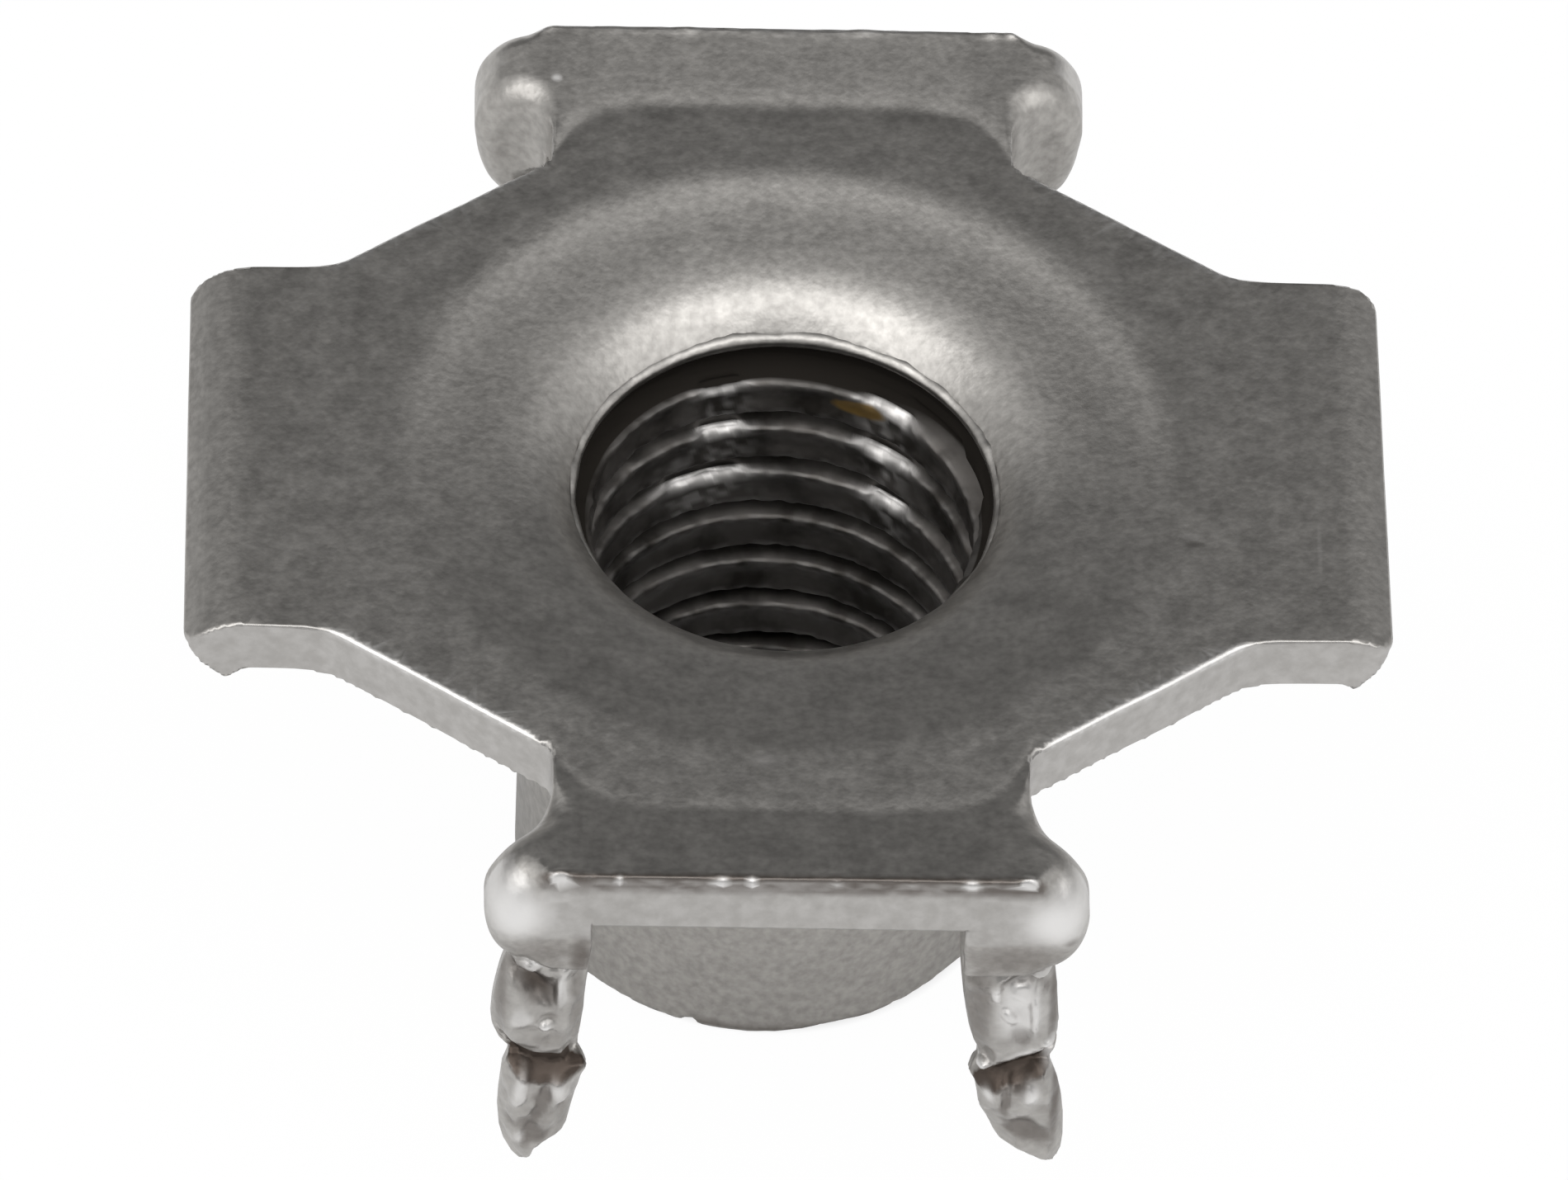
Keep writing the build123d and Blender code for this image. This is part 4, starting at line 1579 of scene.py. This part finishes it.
@dataclass(frozen=True)
class ZincFinish:
    """Dull zinc plating on pressed steel, paler on sheared edges, browned in the tears, with
    painted shade and painted highlights.
    """

    plate: Point3 = (0.44, 0.424, 0.402)
    plate_dark: Point3 = (0.305, 0.293, 0.277)
    cut: Point3 = (0.48, 0.468, 0.455)
    # Colour of the painted shade and its tarnished patches.
    brown: Point3 = (0.06, 0.043, 0.033)
    # Colour of the painted highlights.
    highlight_paint: Point3 = (0.76, 0.75, 0.74)
    grain_mm: float = 0.13
    blots: tuple[Blot, ...] = (
        Blot((9.06, -2.62, 0.0), (0.3, 0.14, 0.3), (0.14, 0.13, 0.12), 0.6),
        Blot((8.98, -2.36, 0.0), (0.34, 0.12, 0.3), (0.6, 0.58, 0.56), 0.4),
        # Painted highlight: a lighter patch at the front of the flange, beside the dish.
        Blot((-0.55, -9.2, -0.1), (0.6, 0.3, 0.6), (0.6, 0.58, 0.56), 0.4),
        # Painted glint: a near-white spot on the back left lobe.
        Blot((-5.15, 11.37, 0.2), (0.16, 0.14, 0.4), (0.9, 0.88, 0.86), 1.0),
        Blot((11.86, -2.7, 0.0), (0.07, 0.9, 0.4), (0.6, 0.58, 0.56), 0.35),
    )

    def make(self, name: str) -> bpy.types.Material:
        """Build the material.

        Args:
            name: Name of the material.

        Returns:
            The material.
        """
        material, nodes, shader = new_material(name)
        shader["Metallic"].default_value = 1.0
        place = nodes.place()
        grain = nodes.noise(place, self.grain_mm, 2.0)
        cloud = nodes.noise(place, 3.2)
        sheared, tarnish = nodes.attribute(Zone.SHEARED), nodes.attribute(Zone.SHADE_AND_TARNISH)
        tone = nodes.span(grain, (0.3, 0.7), (0.0, 0.8))
        tone = nodes.sum("ADD", tone, nodes.span(cloud, (0.3, 0.7), (0.0, 0.15)))
        colour = nodes.blend(tone, self.plate_dark, self.plate)
        colour = nodes.blend(nodes.times(sheared, 0.8), colour, self.cut)
        scored = nodes.span(nodes.noise(place, 0.2, 4.0), (0.35, 0.65), (0.0, 0.45))
        colour = nodes.blend(nodes.times(scored, sheared), colour, self.plate_dark)
        for blot in self.blots:
            colour = blot.over(nodes, place, colour)
        # Painted highlights.
        colour = nodes.blend(nodes.attribute(Zone.PAINTED_HIGHLIGHT), colour, self.highlight_paint)
        # Painted shade with tarnished patches, in brown.
        colour = nodes.blend(nodes.times(tarnish, 0.95), colour, self.brown)
        nodes.link(colour, shader["Base Color"])
        rough = nodes.span(nodes.noise(place, 0.5), (0.3, 0.7), (0.34, 0.42))
        nodes.link(nodes.sum("ADD", rough, nodes.times(tarnish, 0.12)), shader["Roughness"])
        nodes.bump(grain, 0.02, shader["Normal"])
        return material


@dataclass(frozen=True)
class ThreadFinish:
    """Steel of the cut thread, painted very dark as painted shade, with one yellow-brown stain and
    painted black shade in the recess below the lip.
    """

    # Both colours are painted very dark: painted shade for the inside of the bore.
    steel: Point3 = (0.1, 0.092, 0.085)
    darker_painted_shade: Point3 = (0.035, 0.031, 0.027)
    # Painted black shade for the recess below the lip.
    recess: Point3 = (0.016, 0.014, 0.012)
    highlight_paint: Point3 = (0.8, 0.78, 0.76)
    stain: Blot = Blot(
        (1.76, 3.94, -2.87), (0.72, 0.72, 0.72 / 2.6), (0.27, 0.17, 0.05), 0.9, core=0.52 / 0.72
    )

    def make(self, name: str) -> bpy.types.Material:
        """Build the material.

        Args:
            name: Name of the material.

        Returns:
            The material.
        """
        material, nodes, shader = new_material(name)
        place = nodes.place()
        patch = nodes.span(nodes.noise(place, 0.9, 4.0), (0.42, 0.62))
        colour = nodes.blend(patch, self.steel, self.darker_painted_shade)
        # Painted highlights on crest edges and glints.
        colour = nodes.blend(nodes.attribute(Zone.PAINTED_HIGHLIGHT), colour, self.highlight_paint)
        colour = self.stain.over(nodes, place, colour)
        radius = nodes.away(place, (0.0, 0.0, 0.0), (1.0, 1.0, math.inf))
        height = nodes.part(place, "Z")
        # Painted shade: at the top and in the recess below the lip the thread turns black and dull.
        high = nodes.span(height, ((TOP - 2.6) * MM, (TOP - 2.45) * MM))
        painted_recess_shade = nodes.span(height, ((TOP - 2.3) * MM, (TOP - 2.22) * MM))
        painted_recess_shade = nodes.sum("MAXIMUM", painted_recess_shade, nodes.times(nodes.span(radius, (4.38, 4.48)), high))
        nodes.link(nodes.blend(painted_recess_shade, colour, self.recess), shader["Base Color"])
        nodes.link(nodes.span(painted_recess_shade, (0.0, 1.0), (0.75, 0.0)), shader["Metallic"])
        nodes.link(nodes.span(painted_recess_shade, (0.0, 1.0), (0.5, 0.0)), shader["Specular IOR Level"])
        rough = nodes.span(nodes.noise(place, 0.4), (0.3, 0.7), (0.4, 0.62))
        nodes.link(rough, shader["Roughness"])
        nodes.bump(nodes.noise(place, 0.25, 4.0), 0.03, shader["Normal"])
        return material


@dataclass(frozen=True)
class Softbox:
    """One rectangular lamp that looks at the nut, 0 degrees in front of it and 90 at its right."""

    name: str
    azimuth: float
    elevation: float
    away: float
    size: Point2
    level: float

    def build(self) -> None:
        """Hang the lamp, with its distance and size in metres."""
        lamp = bpy.data.lights.new(self.name, "AREA")
        lamp.shape = "RECTANGLE"
        lamp.size, lamp.size_y = self.size
        lamp.energy = self.level * math.pi * self.size[0] * self.size[1]
        box = placed(self.name, lamp)
        a, e = math.radians(self.azimuth), math.radians(self.elevation)
        course = Vector((math.sin(a) * math.cos(e), -math.cos(a) * math.cos(e), math.sin(e)))
        box.location = Vector((0, 0, 0.01)) + course * self.away
        box.rotation_euler = (-course).to_track_quat("-Z", "Y").to_euler()


@dataclass
class Studio:
    """Plain pale floor, soft boxes and a surround that is graded from below to above."""

    floor_size: float = 3.0
    floor_z: float = -0.0002
    levels: tuple[Point2, ...] = (
        (0.13, 0.28), (0.28, 0.08), (0.38, 0.17), (0.48, 0.4), (0.56, 0.78), (0.62, 0.95),
        (0.74, 1.2), (0.84, 1.7), (1.0, 1.8),
    )
    near_floor: float = 0.8
    strength: float = 0.8
    boxes: tuple[Softbox, ...] = (
        Softbox("key", -4, 72, 0.36, (0.44, 0.24), 1.6),
        Softbox("left", -57, 44, 0.4, (0.34, 0.34), 1.5),
        Softbox("right", 60, 44, 0.4, (0.34, 0.34), 1.1),
    )

    def build(self) -> None:
        """Set up floor, surround and lamps."""
        bpy.context.scene.view_settings.view_transform = "Standard"
        self.floor()
        self.surround()
        for box in self.boxes:
            box.build()

    @staticmethod
    def seen(nodes: Nodes) -> tuple[Socket, Socket]:
        """Which rays look at the background, and which mirror it.

        Args:
            nodes: Where the nodes are added.

        Returns:
            The share that looks and the share that mirrors.
        """
        rays = nodes.add("ShaderNodeLightPath").outputs
        direct = nodes.sum("MAXIMUM", rays["Is Camera Ray"], rays["Is Transmission Ray"])
        return direct, rays["Is Glossy Ray"]

    def floor(self) -> None:
        """Lay the white table that keeps a soft shadow, with a painted shadow in what the metal
        mirrors.
        """
        half = self.floor_size / 2
        corners = [(-half, -half), (half, -half), (half, half), (-half, half)]
        mesh = bpy.data.meshes.new("floor")
        mesh.from_pydata([(x, y, self.floor_z) for x, y in corners], [], [(0, 1, 2, 3)])
        floor = placed("floor", mesh)
        material, nodes, _ = new_material("white_table")
        material.node_tree.nodes.remove(material.node_tree.nodes["Principled BSDF"])
        paper = nodes.add("ShaderNodeBsdfDiffuse")
        paper.inputs["Color"].default_value = (0.85, 0.85, 0.85, 1.0)
        glow = nodes.add("ShaderNodeEmission")
        away = nodes.away(nodes.place(), (0.0, 0.0, 0.0), (1.0, 1.0, 1.0))
        # The glow is left out below the bore; in what the metal mirrors it fades towards the nut, a
        # painted shadow added to the real one.
        beside = nodes.span(away, (4.6, 5.6))
        painted_shadow_glow = nodes.span(away, (5.0, 28.0), (0.05, 0.85))
        direct, glossy = self.seen(nodes)
        direct = nodes.times(nodes.times(direct, beside), 0.98)
        mirrored = nodes.times(nodes.times(glossy, beside), painted_shadow_glow)
        mix = nodes.add("ShaderNodeMixShader")
        nodes.link(nodes.sum("MAXIMUM", direct, mirrored), mix.inputs[0])
        nodes.link(paper.outputs[0], mix.inputs[1])
        nodes.link(glow.outputs[0], mix.inputs[2])
        output = material.node_tree.nodes["Material Output"]
        nodes.link(mix.outputs[0], output.inputs["Surface"])
        mesh.materials.append(material)

    def surround(self) -> None:
        """World that is white to the camera and fades upwards for light and reflections."""
        world = bpy.data.worlds.new("studio")
        world.use_nodes = True
        world.node_tree.nodes.clear()
        bpy.context.scene.world = world
        nodes = Nodes(world.node_tree)
        place = nodes.place("Generated")
        height = nodes.part(place, "Z")
        lean = nodes.times(nodes.part(place, "Y"), -0.35)
        beside = nodes.times(nodes.sum("ABSOLUTE", nodes.part(place, "X")), 0.95)
        ramp = nodes.add("ShaderNodeValToRGB")
        ramp.color_ramp.interpolation = "B_SPLINE"
        stops = ramp.color_ramp.elements
        for _ in self.levels[2:]:
            stops.new(0.5)
        for stop, (position, level) in zip(stops, self.levels):
            stop.position = position
            stop.color = (level, level, level, 1.0)
        lift = nodes.sum("ADD", nodes.sum("ADD", height, lean), beside)
        nodes.link(nodes.times(lift, 0.6), ramp.inputs[0])
        low = nodes.span(height, (0.03, 0.2), (1.0, 0.0))
        shade = nodes.times(nodes.level(low, ramp.outputs[0], self.near_floor), self.strength)
        back = nodes.add("ShaderNodeBackground")
        back.inputs["Color"].default_value = (1.0, 1.0, 1.0, 1.0)
        nodes.link(nodes.level(self.seen(nodes)[0], shade, 1.0), back.inputs["Strength"])
        nodes.link(back.outputs[0], nodes.add("ShaderNodeOutputWorld").inputs["Surface"])


@dataclass(frozen=True)
class PhotoCamera:
    """Camera at the photograph's place, looking down at the nut through a long lens."""

    azimuth: float = 2.81
    elevation: float = 47.86
    roll: float = 2.97
    distance: float = 340.63
    lens: float = 349.2
    aside: Point2 = (0.0675, 3.0895)

    def build(self) -> None:
        """Create the camera and make it the scene's own."""
        a, e, r = (math.radians(value) for value in (self.azimuth, self.elevation, self.roll))
        view = Vector((math.sin(a) * math.cos(e), math.cos(a) * math.cos(e), -math.sin(e)))
        right = Vector((math.cos(a), -math.sin(a), 0))
        up = right.cross(view)
        across = right * math.cos(r) + up * math.sin(r)
        upward = up * math.cos(r) - right * math.sin(r)
        place = Vector((0, 0, TOP)) - across * self.aside[0] - upward * self.aside[1]
        place = (place - view * self.distance) * MM
        data = bpy.data.cameras.new("camera")
        data.lens = self.lens
        data.sensor_width = 36.0
        data.clip_start = 0.01
        camera = placed("camera", data)
        turned = Matrix((across, upward, -view)).transposed().to_4x4()
        camera.matrix_world = Matrix.Translation(place) @ turned
        bpy.context.scene.camera = camera


def dress(piece: bpy.types.Object, material: bpy.types.Material) -> None:
    """Give a piece its material and let it ride on the nut's body.

    Args:
        piece: The piece.
        material: Its material.
    """
    piece.data.materials.clear()
    piece.data.materials.append(material)
    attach(piece, "root")
    made = piece.data
    LOG.info("%s: %d vertices, %d faces", piece.name, len(made.vertices), len(made.polygons))


def main() -> None:
    """Build the nut's pieces in order, then the studio and the camera."""
    logging.basicConfig(level=logging.INFO, format="%(name)s: %(message)s")
    stamping = Stamping(Flange(), Barrel(), prongs()).build("stamping")
    dress(stamping, ZincFinish().make("zinc"))
    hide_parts("tee_nut")
    dress(ThroatLip().build("throat_lip"), stamping.data.materials[0])
    dress(Thread().build("thread"), ThreadFinish().make("thread_steel"))
    Studio().build()
    PhotoCamera().build()


if __name__ == "__main__":
    main()
